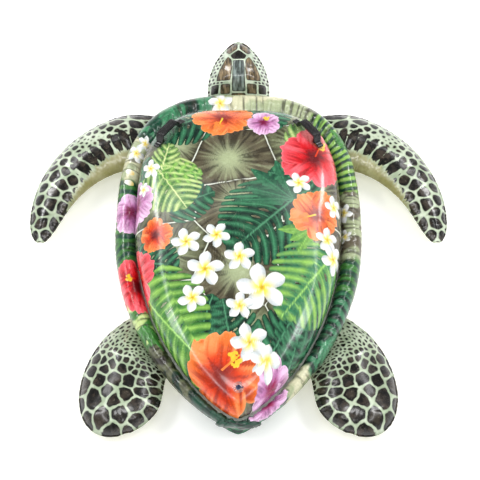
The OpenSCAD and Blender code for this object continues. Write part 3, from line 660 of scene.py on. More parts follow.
def rim():
    cols, rows = 960, 52
    t, arc, total = even_turns(cols, RIM[0] - 42, RIM[1] - 42, RIM[2] - 42, RIM_POWER)
    around = np.arange(rows) * TAU / rows
    r = tube_radius(t)[None, :] * np.ones((rows, 1))
    a = around[:, None]
    # folds across the tube, deepest on the side that faces the dome
    draw = np.random.default_rng(5)
    fold = np.zeros(r.shape)
    at = 0.0
    while at < total:
        turn = np.interp(at, arc, t)
        right = smooth(-0.9, 0.1, math.cos(turn)) * (1 - 0.5 * smooth(0.6, 1, -math.sin(turn)))
        tail = smooth(0.93, 0.99, -math.sin(turn))
        deep = draw.uniform(2.5, 7.0) * (0.4 + 0.6 * right) + 5 * tail
        wide = draw.uniform(4, 8)
        lean = draw.uniform(-9, 9)
        where = draw.uniform(-0.4, 0.9)
        gap = (arc[None, :] - at - lean * np.sin(a - where) + total / 2) % total - total / 2
        lobe = smooth(-0.55, 0.9, np.cos(a - math.pi + where))
        fold += deep * np.exp(-(gap / wide) ** 2) * lobe
        fold -= 0.35 * deep * np.exp(-((gap - 2.2 * wide) / (1.3 * wide)) ** 2) * lobe
        at += draw.uniform(20, 46) * (1.25 - 0.35 * right - 0.25 * tail)
    soft = (fbm(arc[None, :] / 70 + 0 * a, np.cos(a) * 1.5 + 4, 8) - 0.5) * 5.0
    # the weld along the outside and the inside pinches the tube
    weld = 1.6 * np.exp(-(np.sin(a) * r / 3.0) ** 2) * (np.cos(a) > 0)
    pucker = creases(arc[None, :], np.abs(np.sin(a)) * r + 60 * (np.cos(a) < 0), total, 9, 21, 34, 4.0, 2.2)
    turns = np.broadcast_to(t[None, :], r.shape)
    k = (1 + np.cos(a)) / 2
    outer, inner = egg(turns, *RIM, RIM_POWER), egg(turns, *(d + DOME_GAP for d in DOME), DOME_POWER)
    across = [o * k + i * (1 - k) for o, i in zip(outer, inner)]
    pts = np.stack([*across, WELD_Z + r * np.sin(a)], -1)
    n = grid_normals(pts, wrap_rows=True, wrap_cols=True)
    if n[0, 0, 0] < 0:
        n = -n
    crumple = smooth(0.955, 0.995, -np.sin(turns))
    facets = fbm(arc[None, :] / 30 + 0 * a, np.cos(a) * 2.2 + 0 * turns, 61, 1) * 5
    facets = np.abs(facets % 1 - 0.5) * 20 - 5
    pts = pts + n * (soft - fold - pucker - weld + crumple * facets)[..., None]
    # the tail ends bluntly, where the weld is trimmed across
    past = np.maximum(-800 - pts[..., 1], 0)
    pts[..., 0] *= 1 + 0.035 * past
    pts[..., 1] += 0.3 * past
    faces = grid_faces(rows, cols, wrap_rows=True, wrap_cols=True, flip=True)
    # print: bands along the tube, then leaves and flowers
    u = np.broadcast_to(arc[None, :], r.shape)
    v = (math.pi / 2 - ((a + math.pi) % TAU - math.pi)) * 44 + 0 * u        # 0 on top, positive outwards
    deg = np.degrees(np.broadcast_to(t[None, :], r.shape))
    warp = deg + 5 * (fbm(u / 60, v / 40, 31) - 0.5)
    ground = np.zeros(r.shape + (3,)) + OLIVE
    for start, one, two, rate in RIM_BANDS:
        f = smooth(start - 1.2, start + 1.2, warp) if start > 0 else np.ones(r.shape)
        wave = u * rate / 100 + 0.35 * np.sin(v / 34 + start) + 0.5 * fbm(u / 90, v / 60, 7)
        stripe = smooth(0.3, 0.62, 0.5 + 0.5 * np.sin(TAU * wave) + 0.3 * (fbm(u / 6, v / 60, 3) - 0.5))
        tone = mix(one, two, np.clip(stripe + 0.35 * (fbm(u / 12, v / 50, 15, 4) - 0.5), 0, 1))
        ground = mix(ground, tone, f)
    under = smooth(66, 100, np.abs(v))
    streaks = fbm(u / 8, v / 80, 41, 4)
    ground = mix(ground, BROWN_DARK, 0.75 * smooth(0.52, 0.72, streaks))
    ground = mix(ground, mix(OLIVE_PALE, OLIVE, streaks), 0.25 * under)
    c = Canvas(u, v, RIM_LAYERS)

    def at_turn(angle):
        return float(np.interp(math.radians(angle), t, arc))

    s = c.stamp
    for angle, vv, turn, leaf in (
            (128, -5, 30, LEAF_DARK), (118, 20, -40, LEAF_MID), (30, 10, 60, LEAF_LIGHT),
            (250, 0, 20, LEAF_DARK), (322, 5, 100, LEAF_MID), (212, 0, 15, LEAF_LIGHT)):
        s("leaf_a", fronds, at_turn(angle), vv, turn, 120, 15, leaf * 0.6, leaf * 1.3,
          count=5, spread=50, seed=angle)
    s("flower_a", hibiscus, at_turn(178), -22, 30, 88, PINK_DARK, PINK, PINK_LIGHT, seed=6)
    s("flower_a", hibiscus, at_turn(199), -30, 10, 112, RED_DARK, RED, RED_LIGHT, seed=8)
    s("flower_a", hibiscus, at_turn(293), -18, 20, 88, PINK_DARK * 1.5, PINK, PINK_LIGHT, seed=10)
    s("flower_b", stamen, at_turn(196.5), -30, 95, 40, 3, ORANGE, YELLOW)
    for angle, vv, r0, turn in ((94, -4, 48, 5), (154, 0, 44, 30), (146, -18, 36, 10), (2, -34, 42, 20),
                                (357, -30, 30, 55)):
        s("flower_b", plumeria, at_turn(angle), vv, turn, r0)
    for angle, vv in ((164, 4), (168.5, -2)):
        s("flower_b", bud, at_turn(angle), vv, 100, 22)
    material = printed("rim_vinyl", RIM_LAYERS, 0.3)
    ob = make("rim_tube", pts, faces, [(material, len(faces))])
    c.inside = {k: w.ravel() for k, w in c.inside.items()}
    c.colour = {k: w.reshape(-1, 3) for k, w in c.colour.items()}
    c.write(ob)
    give(ob, "ground", ground.reshape(-1, 3))
    return ob


# --------------------------------------------------------------------------- hull
def hull():
    cols = 640
    t, arc, total = even_turns(cols, HULL[0] + 40, HULL[1] + 40, HULL[2], RIM_POWER)
    rings, down = [], []
    for z in np.linspace(DECK_Z, BULGE_Z, 26):
        x, y = hull_outline(t, hull_side(z))
        rings.append(np.stack([x, y, np.full(cols, z)], -1))
        down.append(DECK_Z - z)
    for a in np.linspace(0, 90, 24)[1:]:
        c, s = math.cos(math.radians(a)), math.sin(math.radians(a))
        x, y = hull_outline(t, (HULL_BULGE + BOTTOM_INSET) * c - BOTTOM_INSET)
        rings.append(np.stack([x, y, np.full(cols, BULGE_Z - BULGE_Z * s)], -1))
        down.append(95 + math.radians(a) * 84)
    for k in np.linspace(1, 0.02, 40)[1:]:
        x, y = hull_outline(t, -BOTTOM_INSET)
        rings.append(np.stack([x * k, WIDEST_Y + (y - WIDEST_Y) * k, np.zeros(cols)], -1))
        down.append(228 + (1 - k) * 340)
    p, down = np.stack(rings), np.array(down)
    n = grid_normals(p, wrap_cols=True)
    if n[20, 0, 0] < 0:
        n = -n
    top = creases(arc[None, :], np.broadcast_to(down[:, None], p.shape[:2]), total, 3, 34, 60, 6, 3.0)
    low = creases(arc[None, :], np.abs(down - 226)[:, None] + 0 * arc[None], total, 4, 30, 46, 5, 2.4)
    soft = (fbm(arc[None, :] / 90, down[:, None] / 70, 2) - 0.5) * 5
    keep = smooth(238, 215, down)[:, None]
    move = np.minimum(soft - top - low, 0.3) * keep
    # the baffles inside draw long shallow channels along the bottom
    baffle = np.abs((p[..., 0] / 120 + 0.5) % 1 - 0.5) * 120
    channel = 3.0 * np.exp(-(baffle / 14) ** 2) * smooth(232, 250, down)[:, None]
    channel = channel * smooth(1.0, 0.7, np.abs(p[..., 0]) / 340)
    p = p + n * move[..., None]
    p[..., 2] += channel
    p[..., 2] = np.maximum(p[..., 2], 0.0)
    pts = np.concatenate([p.reshape(-1, 3), p[-1].mean(0, keepdims=True)])
    rows = len(rings)
    faces = [tuple(f) for f in grid_faces(rows, cols, wrap_cols=True, flip=True)]
    faces += [((rows - 1) * cols + j, rows * cols, (rows - 1) * cols + (j + 1) % cols) for j in range(cols)]
    s = Shader("hull_vinyl")
    plates = s.cells(5.2, 0.55)
    colour = s.mottled(7.0, 4.0, 0.35, 0.7, rgb("d9d9ae"), rgb("bcc08e"))
    colour = s.blend(s.ramp(plates, 0.05, 0.0, 0.0, 0.6), colour, rgb("8b8d62"))
    side = s.ramp(s.axis("Z"), 0.105, 0.14)
    tail = s.ramp(s.axis("Y"), -0.60, -0.68)
    green = s.blend(s.ramp(s.noise(24.0, 4.0, stretch=(1, 1, 4)), 0.4, 0.62), LEAF_DEEP, LEAF_MID)
    colour = s.blend(s.maths("MAXIMUM", side, tail), colour, green)
    return make("hull", pts, faces, [(s.vinyl(colour, 0.32, 0.6), len(faces))])


# --------------------------------------------------------------------------- pillows
def bezier(spine, s):
    b = np.asarray(spine, float)
    q = 1 - s
    place = sum(k[..., None] * c for k, c in zip((q ** 3, 3 * q * q * s, 3 * q * s * s, s ** 3), b))
    d = sum(k[..., None] * c for k, c in zip((q * q, 2 * q * s, s * s), np.diff(b, axis=0)))
    return place, d / np.linalg.norm(d, axis=-1, keepdims=True)


def half_width(form, s):
    return (form[0] + form[1] * s + form[2] * s * s) * np.sqrt(np.maximum(1 - s ** form[3], 0))


def pillow(spine, form, root, hold, depths, swell, rows, cols, seed, pleat=2.4):
    """Two films welded round their edge.

    Gives both grids of points, the place across, the arc along the spine and the half widths.
    """
    s = (1 - np.cos(np.pi * np.linspace(0, 1, rows))) / 2 * 0.9975
    v = -np.cos(np.pi * np.linspace(0, 1, cols))
    s2, v2 = np.meshgrid(s, v, indexing="ij")
    place, d = bezier(spine, s2)
    arc = np.concatenate([[0], np.cumsum(np.linalg.norm(np.diff(place[:, 0], axis=0), axis=1))])[:, None]
    w = half_width(form, s2)
    side = np.stack([-d[..., 1], d[..., 0]], -1)
    q = place + (w * v2)[..., None] * side
    p0, d0 = bezier(spine, np.zeros(cols))
    straight = p0 + (form[0] * v)[:, None] * np.stack([-d0[:, 1], d0[:, 0]], -1)
    angles = np.radians(root[0] + (root[1] - root[0]) * (v + 1) / 2)
    hx, hy = hull_outline(angles, hull_side(root[2]), ROOT_GAP)
    shift = np.stack([hx, hy], -1) - np.array(root[3], float) - straight
    fade = np.maximum(0, 1 - s2 / 0.3) ** (2 - hold * (1 + v2))
    q = q + fade[..., None] * shift[None]
    full = np.sin(np.pi / 2 * np.minimum(1, s2 / swell[0])) ** swell[1]
    from_weld = w * (1 - np.abs(v2))
    from_tip = (1 - s2) * arc[-1, 0]
    edge_arc = arc + 37 * (v2 > 0) + 0 * s2
    total = arc[-1, 0] + 1
    out = []
    for k, depth in enumerate(depths):
        h = depth * w * full * np.maximum(0, 1 - v2 * v2) ** 0.62
        folds = creases(edge_arc, from_weld, total, seed + 3 * k, PLEAT_SPACING, 46, 4.2, pleat)
        folds += creases(edge_arc, from_weld, total, seed + 7 + 3 * k, PLEAT_SPACING * 3.4, 95, 8, pleat * 1.2)
        tips = creases(v2 * w, from_tip, 400, seed + 5 + k, 22, 60, 5, pleat)
        roots = creases(v2 * w, s2 * arc[-1, 0], 500, seed + 6 + k, 26, 110, 6, pleat * 1.3)
        soft = (fbm(arc / 80 + 0 * v2, v2 * w / 80, seed + 9) - 0.5) * 5 * smooth(0, 30, h)
        h = np.maximum(h + soft - (folds + tips + roots) * smooth(0, 12, h), 0)
        out.append(np.concatenate([q, (h * (1 - 2 * k))[..., None]], -1))
    pull = creases(edge_arc, from_weld * 0, total, seed + 3, PLEAT_SPACING, 46, 4.2, 1.0)
    for p in out:
        p[..., :2] -= ((pull * 1.3 * np.sign(v2) * smooth(0.8, 1.0, np.abs(v2)))[..., None] * side)
    return out[0], out[1], v2, arc + 0 * v2, w


def pillow_mesh(name, top, bottom, material, belly):
    """Closed pillow with a thin flat weld flange round its outline.

    Gives the object and the grid place of each of its points.
    """
    rows, cols = top.shape[:2]
    # outline of the flange: up one edge, round the tip and back down the other
    loop = [(i, 0) for i in range(rows)] + [(rows - 1, j) for j in range(1, cols)]
    loop += [(i, cols - 1) for i in range(rows - 2, -1, -1)]
    idx = np.array([i * cols + j for i, j in loop])
    edge = top.reshape(-1, 3)[idx]
    along = np.gradient(edge[:, :2], axis=0)
    along /= np.maximum(np.linalg.norm(along, axis=1, keepdims=True), 1e-9)
    outward = np.stack([along[:, 1], -along[:, 0]], -1)
    if np.sum((edge[:, :2] - top[..., :2].reshape(-1, 2).mean(0)) * outward) < 0:
        outward = -outward
    for _ in range(6):
        outward[1:-1] = (outward[:-2] + 2 * outward[1:-1] + outward[2:]) / 4
    ripple = 0.9 * np.sin(np.arange(len(idx)) * 0.9) + 0.6 * np.sin(np.arange(len(idx)) * 0.37)
    n, m = rows * cols, len(idx)
    rim = [np.concatenate([edge[:, :2] + outward * WELD_WIDTH, (edge[:, 2] + lift + ripple * 0.5)[:, None]], 1)
           for lift in (0.5, -0.5)]
    a = np.arange(m - 1)
    up = np.stack([idx[a], idx[a + 1], 2 * n + a + 1, 2 * n + a], -1)
    down = np.stack([n + idx[a], 2 * n + m + a, 2 * n + m + a + 1, n + idx[a + 1]], -1)
    thick = np.stack([2 * n + a, 2 * n + a + 1, 2 * n + m + a + 1, 2 * n + m + a], -1)
    j = np.arange(cols - 1)
    root = np.stack([j, n + j, n + j + 1, j + 1], -1)
    faces = np.concatenate([grid_faces(rows, cols), up, grid_faces(rows, cols, start=n, flip=True), down,
                            thick, root])
    upper = (rows - 1) * (cols - 1) + m - 1
    points = np.concatenate([top.reshape(-1, 3), bottom.reshape(-1, 3)] + rim)
    ob = make(name, points, faces, [(material, upper), (belly, len(faces) - upper)])
    return ob, np.concatenate([np.arange(n), np.arange(n), idx, idx])


FRONT = dict(spine=[(-332, 443), (-436, 472), (-740, 385), (-766, -22)], form=(134, 10, -100, 24), hold=0.7,
             root=(112, 151, SEAM_Z, (0, 0)), depths=(0.46, 0.44), swell=(0.34, 1.9),
             rows=330, cols=112, seed=30)
REAR = dict(spine=[(-329, -458), (-400, -512), (-458, -645), (-408, -808)], form=(121, 66, -34, 8), hold=0.0,
            root=(205.4, 225.6, SEAM_Z, (0, 0)), depths=(0.42, 0.40), swell=(0.35, 1.2),
            rows=200, cols=116, seed=50)


def scatter(size, low, high, seed, pack, tries):
    """Seeded places for scales, each kept clear of the ones before it by the sizes there."""
    draw = np.random.default_rng(seed)
    spots = draw.uniform(low, high, (tries, 2))
    sizes = size(spots[:, 0], spots[:, 1]) * draw.uniform(0.78, 1.15, tries)
    kept = np.empty((0, 3))
    for (x, y), r in zip(spots, sizes):
        if len(kept) == 0 or np.all(np.hypot(kept[:, 0] - x, kept[:, 1] - y) > pack * (kept[:, 2] + r) / 2):
            kept = np.vstack([kept, (x, y, r)])
    return kept


def scales(x, y, centres, gap, rounding):
    """How far each place lies inside its scale, and the number of that scale."""
    inside, number = np.empty(x.size), np.empty(x.size, int)
    fx, fy = x.ravel(), y.ravel()
    for start in range(0, x.size, 4000):
        part = slice(start, start + 4000)
        d = np.hypot(fx[part, None] - centres[:, 0], fy[part, None] - centres[:, 1]) - 0.42 * centres[:, 2]
        order = np.argpartition(d, (0, 1, 2), axis=1)
        first, second, third = (np.take_along_axis(d, order[:, k:k + 1], 1)[:, 0] for k in range(3))
        near, far = (second - first) / 2, (third - first) / 2
        inside[part] = near - rounding * np.exp(-(far - near) / 4.0)
        number[part] = order[:, 0]
    return inside.reshape(x.shape) - gap / 2, number.reshape(x.shape)


def front_print(arc, across):
    """Scales of a front flipper: (inside, band, number of the scale at each place). across is positive towards
    the leading edge.
    """
    lead = smooth(-60, 120, across)

    def size(a, b):
        root = smooth(240, 60, a) * smooth(0, 100, b)
        middle = smooth(250, 520, a) * smooth(115, 20, b)
        return 19 + 40 * root + 32 * middle + 12 * smooth(700, 900, a)
    centres = scatter(size, (-10, -150), (1120, 150), 12, 0.98, 9000)
    warp_a = arc + 6 * (fbm(arc / 22, across / 22, 3) - 0.5)
    warp_b = across + 6 * (fbm(arc / 22, across / 22, 9) - 0.5)
    inside, number = scales(warp_a, warp_b, centres, 6.5, 2.6)
    inside = np.where((hashed(number, 1, 4) < 0.06) & (lead > 0.3), inside - 3, inside)
    # dark strokes hang across the root half, towards the trailing edge
    strokes = np.full(arc.shape, -40.0)
    for k in range(8):
        at = 28 + 44 * k + 10 * hashed(k, 1, 2)
        long = 60 - 3 * k + 14 * hashed(k, 2, 2)
        middle = -34 - 1.5 * k + 10 * hashed(k, 3, 2)
        p = (arc - at - 0.15 * (across - middle)) / (18 + 6 * hashed(k, 4, 2))
        q = (across - middle) / long
        strokes = np.maximum(strokes, (1 - np.hypot(p * (1 + 0.9 * smooth(0, 1, -q)), q)) * 17)
    rag = 26 * (fbm(arc / 4.5, across / 70, 17, 4) - 0.5)
    strokes = strokes + rag * smooth(8, -6, strokes) * smooth(10, -50, across)
    free = smooth(-8, -30, across) * smooth(440, 330, arc)
    inside = np.where(free > 0.5, -12, inside)
    inside = np.maximum(inside, strokes)
    edge = -70 - 14 * smooth(450, 900, arc)
    band = smooth(12, -14, across - edge + 26 * (fbm(arc / 7, across / 50, 23, 4) - 0.5))
    inside = np.where(band > 0.05, np.minimum(inside, 8 - 24 * band), inside)
    return inside, band, number


def rear_print(arc, across):
    """Scales of a rear flipper, which grow from specks at the root to broad plates at the end."""
    def size(a, b):
        return 13 + 46 * smooth(60, 270, a + 0.1 * np.abs(b))
    centres = scatter(size, (-10, -175), (400, 175), 5, 0.9, 9000)
    warp_a = arc + 11 * (fbm(arc / 20, across / 20, 3) - 0.5)
    warp_b = across + 11 * (fbm(arc / 20, across / 20, 9) - 0.5)
    inside, number = scales(warp_a, warp_b, centres, 4.4, 1.4)
    return inside - 1.6 * smooth(80, 260, arc), np.zeros(arc.shape), number


def scale_material(name):
    """Vinyl printed with scales.

    'in_scale' is the distance inside a scale, 'band' the plain strip and 'tone' each scale's own shade.
    """
    s = Shader(name)
    inside = s.attribute("in_scale")
    base = s.mottled(13.0, 5.0, 0.35, 0.65, MINT, MINT_SHADE)
    base = s.blend(s.ramp(inside, -4.0, -0.5, 0.0, 0.35), base, rgb("7c8a70"))
    dark = s.mottled(34.0, 5.0, 0.45, 0.66, SCALE_DARK, SCALE_BROWN)
    worn = s.maths("MULTIPLY", s.ramp(inside, 4.0, 13.0), s.ramp(s.attribute("tone"), 0.45, 1.0, 0.0, 0.5))
    dark = s.blend(worn, dark, rgb("4c443a"))
    dark = s.blend(s.maths("MULTIPLY", s.ramp(s.noise(90.0, 3.0), 0.6, 0.72), 0.25), dark, rgb("8a8270"))
    colour = s.blend(s.ramp(inside, -1.0, 1.0), base, dark)
    straw = s.mottled(16.0, 4.0, 0.3, 0.7, STRAW, rgb("8f8b58"))
    colour = s.blend(s.maths("MULTIPLY", s.attribute("band"), s.ramp(inside, 1.0, -1.0)), colour, straw)
    return s.vinyl(colour, 0.24, 0.55)


def belly_material(name):
    """Pale vinyl with faint scales, for the sides that face the water."""
    s = Shader(name)
    edge = s.cells(24.0, 0.8)
    base = s.mottled(12.0, 4.0, 0.35, 0.7, rgb("cfcf9f"), rgb("aeb27e"))
    colour = s.blend(s.ramp(edge, 0.03, 0.09, 0.7, 0.0), base, rgb("7f815a"))
    return s.vinyl(colour, 0.32, 0.6)


def hung(points, spine, axis, side):
    """Droop a flipper about its hinge and mirror it for the right side."""
    pivot = np.array([spine[0][0], spine[0][1], SEAM_Z])
    m = np.array(Matrix.Rotation(math.radians(-DROOP), 3, Vector(axis)))
    p = points.reshape(-1, 3).copy()
    p[:, :2] -= pivot[:2]
    p = p @ m.T + pivot
    p[:, 0] *= side
    return p.reshape(points.shape)


def placed(ob, move):
    """Move an object's points, given and taken in millimetres."""
    co = np.zeros(len(ob.data.vertices) * 3)
    ob.data.vertices.foreach_get("co", co)
    ob.data.vertices.foreach_set("co", (move(co.reshape(-1, 3) / MM) * MM).ravel())
    ob.data.update()


def flipper(kind, which, side, setting, axis, material, belly):
    top, bottom, v2, arc, w = pillow(**setting)
    ob, grid = pillow_mesh(f"{kind}_{which}_flipper", top, bottom, material, belly)
    placed(ob, lambda p: hung(p, setting["spine"], axis, side))
    if side < 0:
        ob.data.flip_normals()
    inside, band, number = front_print(arc, -w * v2) if kind == "front" else rear_print(arc, w * v2)
    give(ob, "in_scale", np.clip(inside, -12, 14).ravel()[grid])
    give(ob, "band", band.ravel()[grid])
    give(ob, "tone", hashed(number, 2, 6).ravel()[grid])
    return ob


# --------------------------------------------------------------------------- head
HEAD = dict(spine=[(0, 0), (0, 316 / 3), (0, 632 / 3), (0, 316)], form=(100, 113, -154, 6), hold=0.0,
            root=(85, 95, NECK[2], (0, NECK[1])), depths=(0.8, 0.66), swell=(0.58, 2.8),
            rows=170, cols=120, seed=70)

TEAK, SLATE, OCHRE, SOOT = rgb("6b5c46"), rgb("6e7a76"), rgb("7c6a4c"), rgb("241f1a")
# plates of the head as convex outlines, x across from the middle and y forward from the neck
HEAD_MIDDLE = [(SOOT, [(0, 280), (33, 256), (24, 239), (-24, 239), (-33, 256)]),
               (SLATE, [(-22, 234), (22, 234), (28, 110), (-28, 110)]),
               (OCHRE, [(-29, 104), (29, 104), (26, 40), (-26, 40)])]
HEAD_SIDE = [(TEAK, [(4, 284), (4, 312), (22, 314), (44, 297), (51, 270), (37, 260)]),
             (OCHRE, [(27, 235), (43, 251), (63, 225), (85, 180), (91, 150), (33, 150), (25, 200)]),
             (TEAK, [(33, 138), (72, 138), (75, 101), (34, 101)]),
             (SOOT, [(79, 138), (110, 135), (114, 101), (82, 101)]),
             (TEAK, [(34, 94), (88, 94), (79, 62), (34, 62)]),
             (SOOT, [(93, 94), (122, 90), (116, 60), (86, 62)]),
             (OCHRE, [(32, 55), (84, 55), (80, 22), (32, 22)]), (TEAK, [(2, 33), (26, 33), (24, 6), (2, 6)])]


def convex(x, y, corners):
    """Distance inside a convex outline, with its corners slightly rounded."""
    turn = sum(ax * by - bx * ay for (ax, ay), (bx, by) in zip(corners, corners[1:] + corners[:1]))
    soft = 0.0
    for (ax, ay), (bx, by) in zip(corners, corners[1:] + corners[:1]):
        length = math.hypot(bx - ax, by - ay)
        d = ((bx - ax) * (y - ay) - (by - ay) * (x - ax)) / length * (1 if turn > 0 else -1)
        soft = soft + np.exp(-np.clip(d, -60, 60) / 2.2)
    return -2.2 * np.log(soft)


def head_print(x, y):
    """Head plates: (colour, distance inside a plate)."""
    wx, wy = x + 3 * (fbm(x / 14, y / 14, 3) - 0.5), y + 3 * (fbm(x / 14, y / 14, 8) - 0.5)
    inside = np.full(x.shape, -20.0)
    colour = np.zeros(x.shape + (3,)) + TEAK
    plates = [(tone, wx, corners) for tone, corners in HEAD_MIDDLE]
    plates += [(tone, np.abs(wx), corners) for tone, corners in HEAD_SIDE]
    for k, (tone, px, corners) in enumerate(plates):
        d = convex(px, wy, corners)
        grain = fbm(x / 6 + 9 * k, wy / 26, 13 + k, 4)
        shade = mix(tone, tone * 0.22, smooth(0.42, 0.68, grain))
        shade = mix(shade, np.clip(tone * 1.9 + 0.02, 0, 1), 0.6 * smooth(0.44, 0.28, grain))
        shade = mix(shade, SOOT * 0.7, 0.8 * smooth(5, 0.5, d))
        colour = np.where((d > inside)[..., None], shade, colour)
        inside = np.maximum(inside, d)
    # small dark scales down the sides, in rows that grow towards the neck
    sx = np.abs(wx) + 0.25 * wy
    cell = np.hypot((sx / 15 + 0.5 * (np.floor(wy / 15) % 2)) % 1 - 0.5, (wy / 15) % 1 - 0.5)
    beside = np.where((np.abs(x) > 58) & (inside < -3.5), (0.36 - cell) * 15, -20)
    colour = np.where((beside > inside)[..., None], SOOT, colour)
    return colour, np.maximum(inside, beside)


def head():
    top, bottom = pillow(**HEAD, pleat=1.8)[:2]
    s = Shader("head_vinyl")
    base = s.mottled(30.0, 3.0, 0.35, 0.65, rgb("d5e2cb"), rgb("a4b59c"))
    line = s.ramp(s.attribute("in_plate"), -0.8, 0.8)
    material = s.vinyl(s.blend(line, base, s.attribute("ground", "Color")), 0.3, 0.75)
    ob, grid = pillow_mesh("head", top, bottom, material, belly_material("head_belly_vinyl"))
    p = top[..., :2].reshape(-1, 2)[grid]
    colour, inside = head_print(p[:, 0], p[:, 1])
    give(ob, "ground", colour)
    give(ob, "in_plate", np.clip(inside, -12, 12))
    turn = np.array(Matrix.Rotation(math.radians(HEAD_PITCH), 3, "X"))
    placed(ob, lambda q: q @ turn.T + np.array(NECK))
    ob.data.flip_normals()
    return ob


# --------------------------------------------------------------------------- moulded parts
def moulded(name, colour, other, roughness, clear=0.0):
    """Moulded soft plastic with a fine grain and faint flow marks."""
    s = Shader(name)
    tint = s.mottled(70.0, 4.0, 0.35, 0.7, colour, other)
    s.vinyl(tint, roughness, 0.3, 0.06, 400.0)
    s.surface.inputs["Specular IOR Level"].default_value = 0.3
    s.surface.inputs["Transmission Weight"].default_value = clear
    return s.material


def lathe(name, profile, material, steps=72):
    """A turned piece from (radius, height) points in millimetres, closed where the radius is 0."""
    profile = np.array(profile, float)
    a = np.arange(steps) * TAU / steps
    p = np.stack([profile[:, :1] * np.cos(a), profile[:, :1] * np.sin(a), profile[:, 1:] + 0 * a], -1)
    faces = grid_faces(len(profile), steps, wrap_rows=profile[0, 0] > 0, wrap_cols=True, flip=True)
    return make(name, p, faces, [(material, len(faces))])


def tube_mesh(name, p, material):
    """A closed piece from a grid of points whose rows are its sections."""
    rows, cols = p.shape[:2]
    faces = [tuple(f) for f in grid_faces(rows, cols, wrap_cols=True)]
    faces += [tuple(range(cols))[::-1], tuple((rows - 1) * cols + j for j in range(cols))]
    return make(name, p, faces, [(material, len(faces))])


def set_in(ob, matrix):
    """Write a placing matrix (millimetres) into the mesh, so the object itself stays at the origin."""
    m = np.array(matrix)
    placed(ob, lambda p: p @ m[:3, :3].T + m[:3, 3])
    return ob


HANDLE_AT, HANDLE_TURN, HANDLE_SLOPE, HANDLE_ROLL = (-265.0, 327.0, 310.803), 52.0, 18.602, 1.171
# stations along half a handle: distance from its middle, underside, top, half width, depth of the carving
GRIP = [(0, 23, 35.0, 18.6, 1), (14, 23, 35, 18.6, 1), (28, 23, 35, 18.6, 1), (36, 23, 34.9, 18.6, 1),
        (40, 22.6, 34.2, 18.6, 1), (42.2, 21.4, 33.3, 18.6, 1), (43.2, 18, 32.4, 18.6, 1),
        (43.8, 2.2, 31.6, 18.6, 1), (45, 1.5, 30.2, 18.6, 1), (49, 1.4, 24, 18.4, 1),
        (53, 1.4, 16.5, 18.0, 0.8), (56, 1.2, 10.6, 16.8, 0.3),
        (58, 1.0, 7.6, 15.0, 0), (60, 0.8, 6.3, 13.8, 0), (66, -0.2, 5.2, 13.2, 0), (74, -1.2, 3.8, 12.8, 0),
        (79, -2.0, 2.9, 12.2, 0), (80.6, -2.2, 1.9, 11.0, 0), (81, -2.0, 0.4, 9.5, 0)]


def handle(name, side, material):
    """Grab handle: a bridge with chamfered ends, a carved top with ribs, and a square tab at each end."""
    stations = [(-u, *rest) for u, *rest in reversed(GRIP[1:])] + GRIP
    corners = [0.93, 0.97, 0.995, 1]
    across = np.concatenate([[-c for c in reversed(corners)], np.linspace(-0.88, 0.88, 57), corners])
    rows = []
    for u, low, high, half, carve in stations:
        v = across * half
        corner = np.sqrt(np.maximum(1 - np.clip((np.abs(across) - 0.88) / 0.12, 0, 1) ** 2, 0))
        groove = smooth(0.8, 0.72, np.abs(across)) * smooth(0.60, 0.66, np.abs(across)) * 1.6
        ribs = smooth(0.56, 0.48, np.abs(across)) * (1.5 - 1.2 * smooth(-0.1, 0.5, np.cos(across * 19.0)))
        top = high - 2.6 * (1 - corner) - carve * (groove + ribs)
        under = np.linspace(half, -half, 13)[1:-1]
        rows.append(np.concatenate([np.stack([np.full(v.size, u), v, top], -1),
                                    np.stack([np.full(11, u), under, np.full(11, float(low))], -1)]))
    ob = tube_mesh(name, np.stack(rows), material)
    place = Matrix.Translation(HANDLE_AT)
    for degrees, axis in ((HANDLE_TURN, "Z"), (-HANDLE_SLOPE, "X"), (HANDLE_ROLL, "Y")):
        place = place @ Matrix.Rotation(math.radians(degrees), 4, axis)
    set_in(ob, Matrix.Diagonal((side, 1, 1, 1)) @ place)
    if side > 0:
        ob.data.flip_normals()
    bevel = ob.modifiers.new("soft_edges", "BEVEL")
    bevel.width, bevel.segments, bevel.limit_method, bevel.angle_limit = 0.0007, 2, "ANGLE", math.radians(40)
    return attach(ob, "float")


def patch(name, side, shell, material):
    """Welded patch under a handle: an oval sheet laid on the dome with a pressed bead round it."""
    tree = bvhtree.BVHTree.FromObject(shell, bpy.context.evaluated_depsgraph_get())
    rings, steps = 16, 120
    a = np.arange(steps) * TAU / steps
    along = np.array([math.cos(math.radians(HANDLE_TURN)), math.sin(math.radians(HANDLE_TURN))])
    out = np.array([-along[1], along[0]])
    points = []
    for k in range(rings + 1):
        r = 1 - k / (rings + 0.5)
        c, d = np.cos(a), np.sin(a)
        oval = r / (np.abs(c) ** 3.2 + np.abs(d) ** 3.2) ** (1 / 3.2)
        q = np.array(HANDLE_AT[:2]) + (oval * c * 89)[:, None] * along + (oval * d * 23)[:, None] * out
        bead = 0.6 * math.exp(-((r - 0.95) / 0.02) ** 2)
        for x, y in q:
            hit, normal = tree.ray_cast(Vector((side * x * MM, y * MM, 1)), Vector((0, 0, -1)))[:2]
            lift = (0.1 if k == 0 else 0.75 + bead) * MM
            points.append((hit + normal * (lift if normal.z > 0 else -lift)) / MM)
    faces = [tuple(f) for f in grid_faces(rings + 1, steps, wrap_cols=True, flip=side > 0)]
    faces += [tuple(rings * steps + j for j in range(steps))[::(-1 if side > 0 else 1)]]
    ob = make(name, points, faces, [(material, len(faces))])
    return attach(ob, "float")


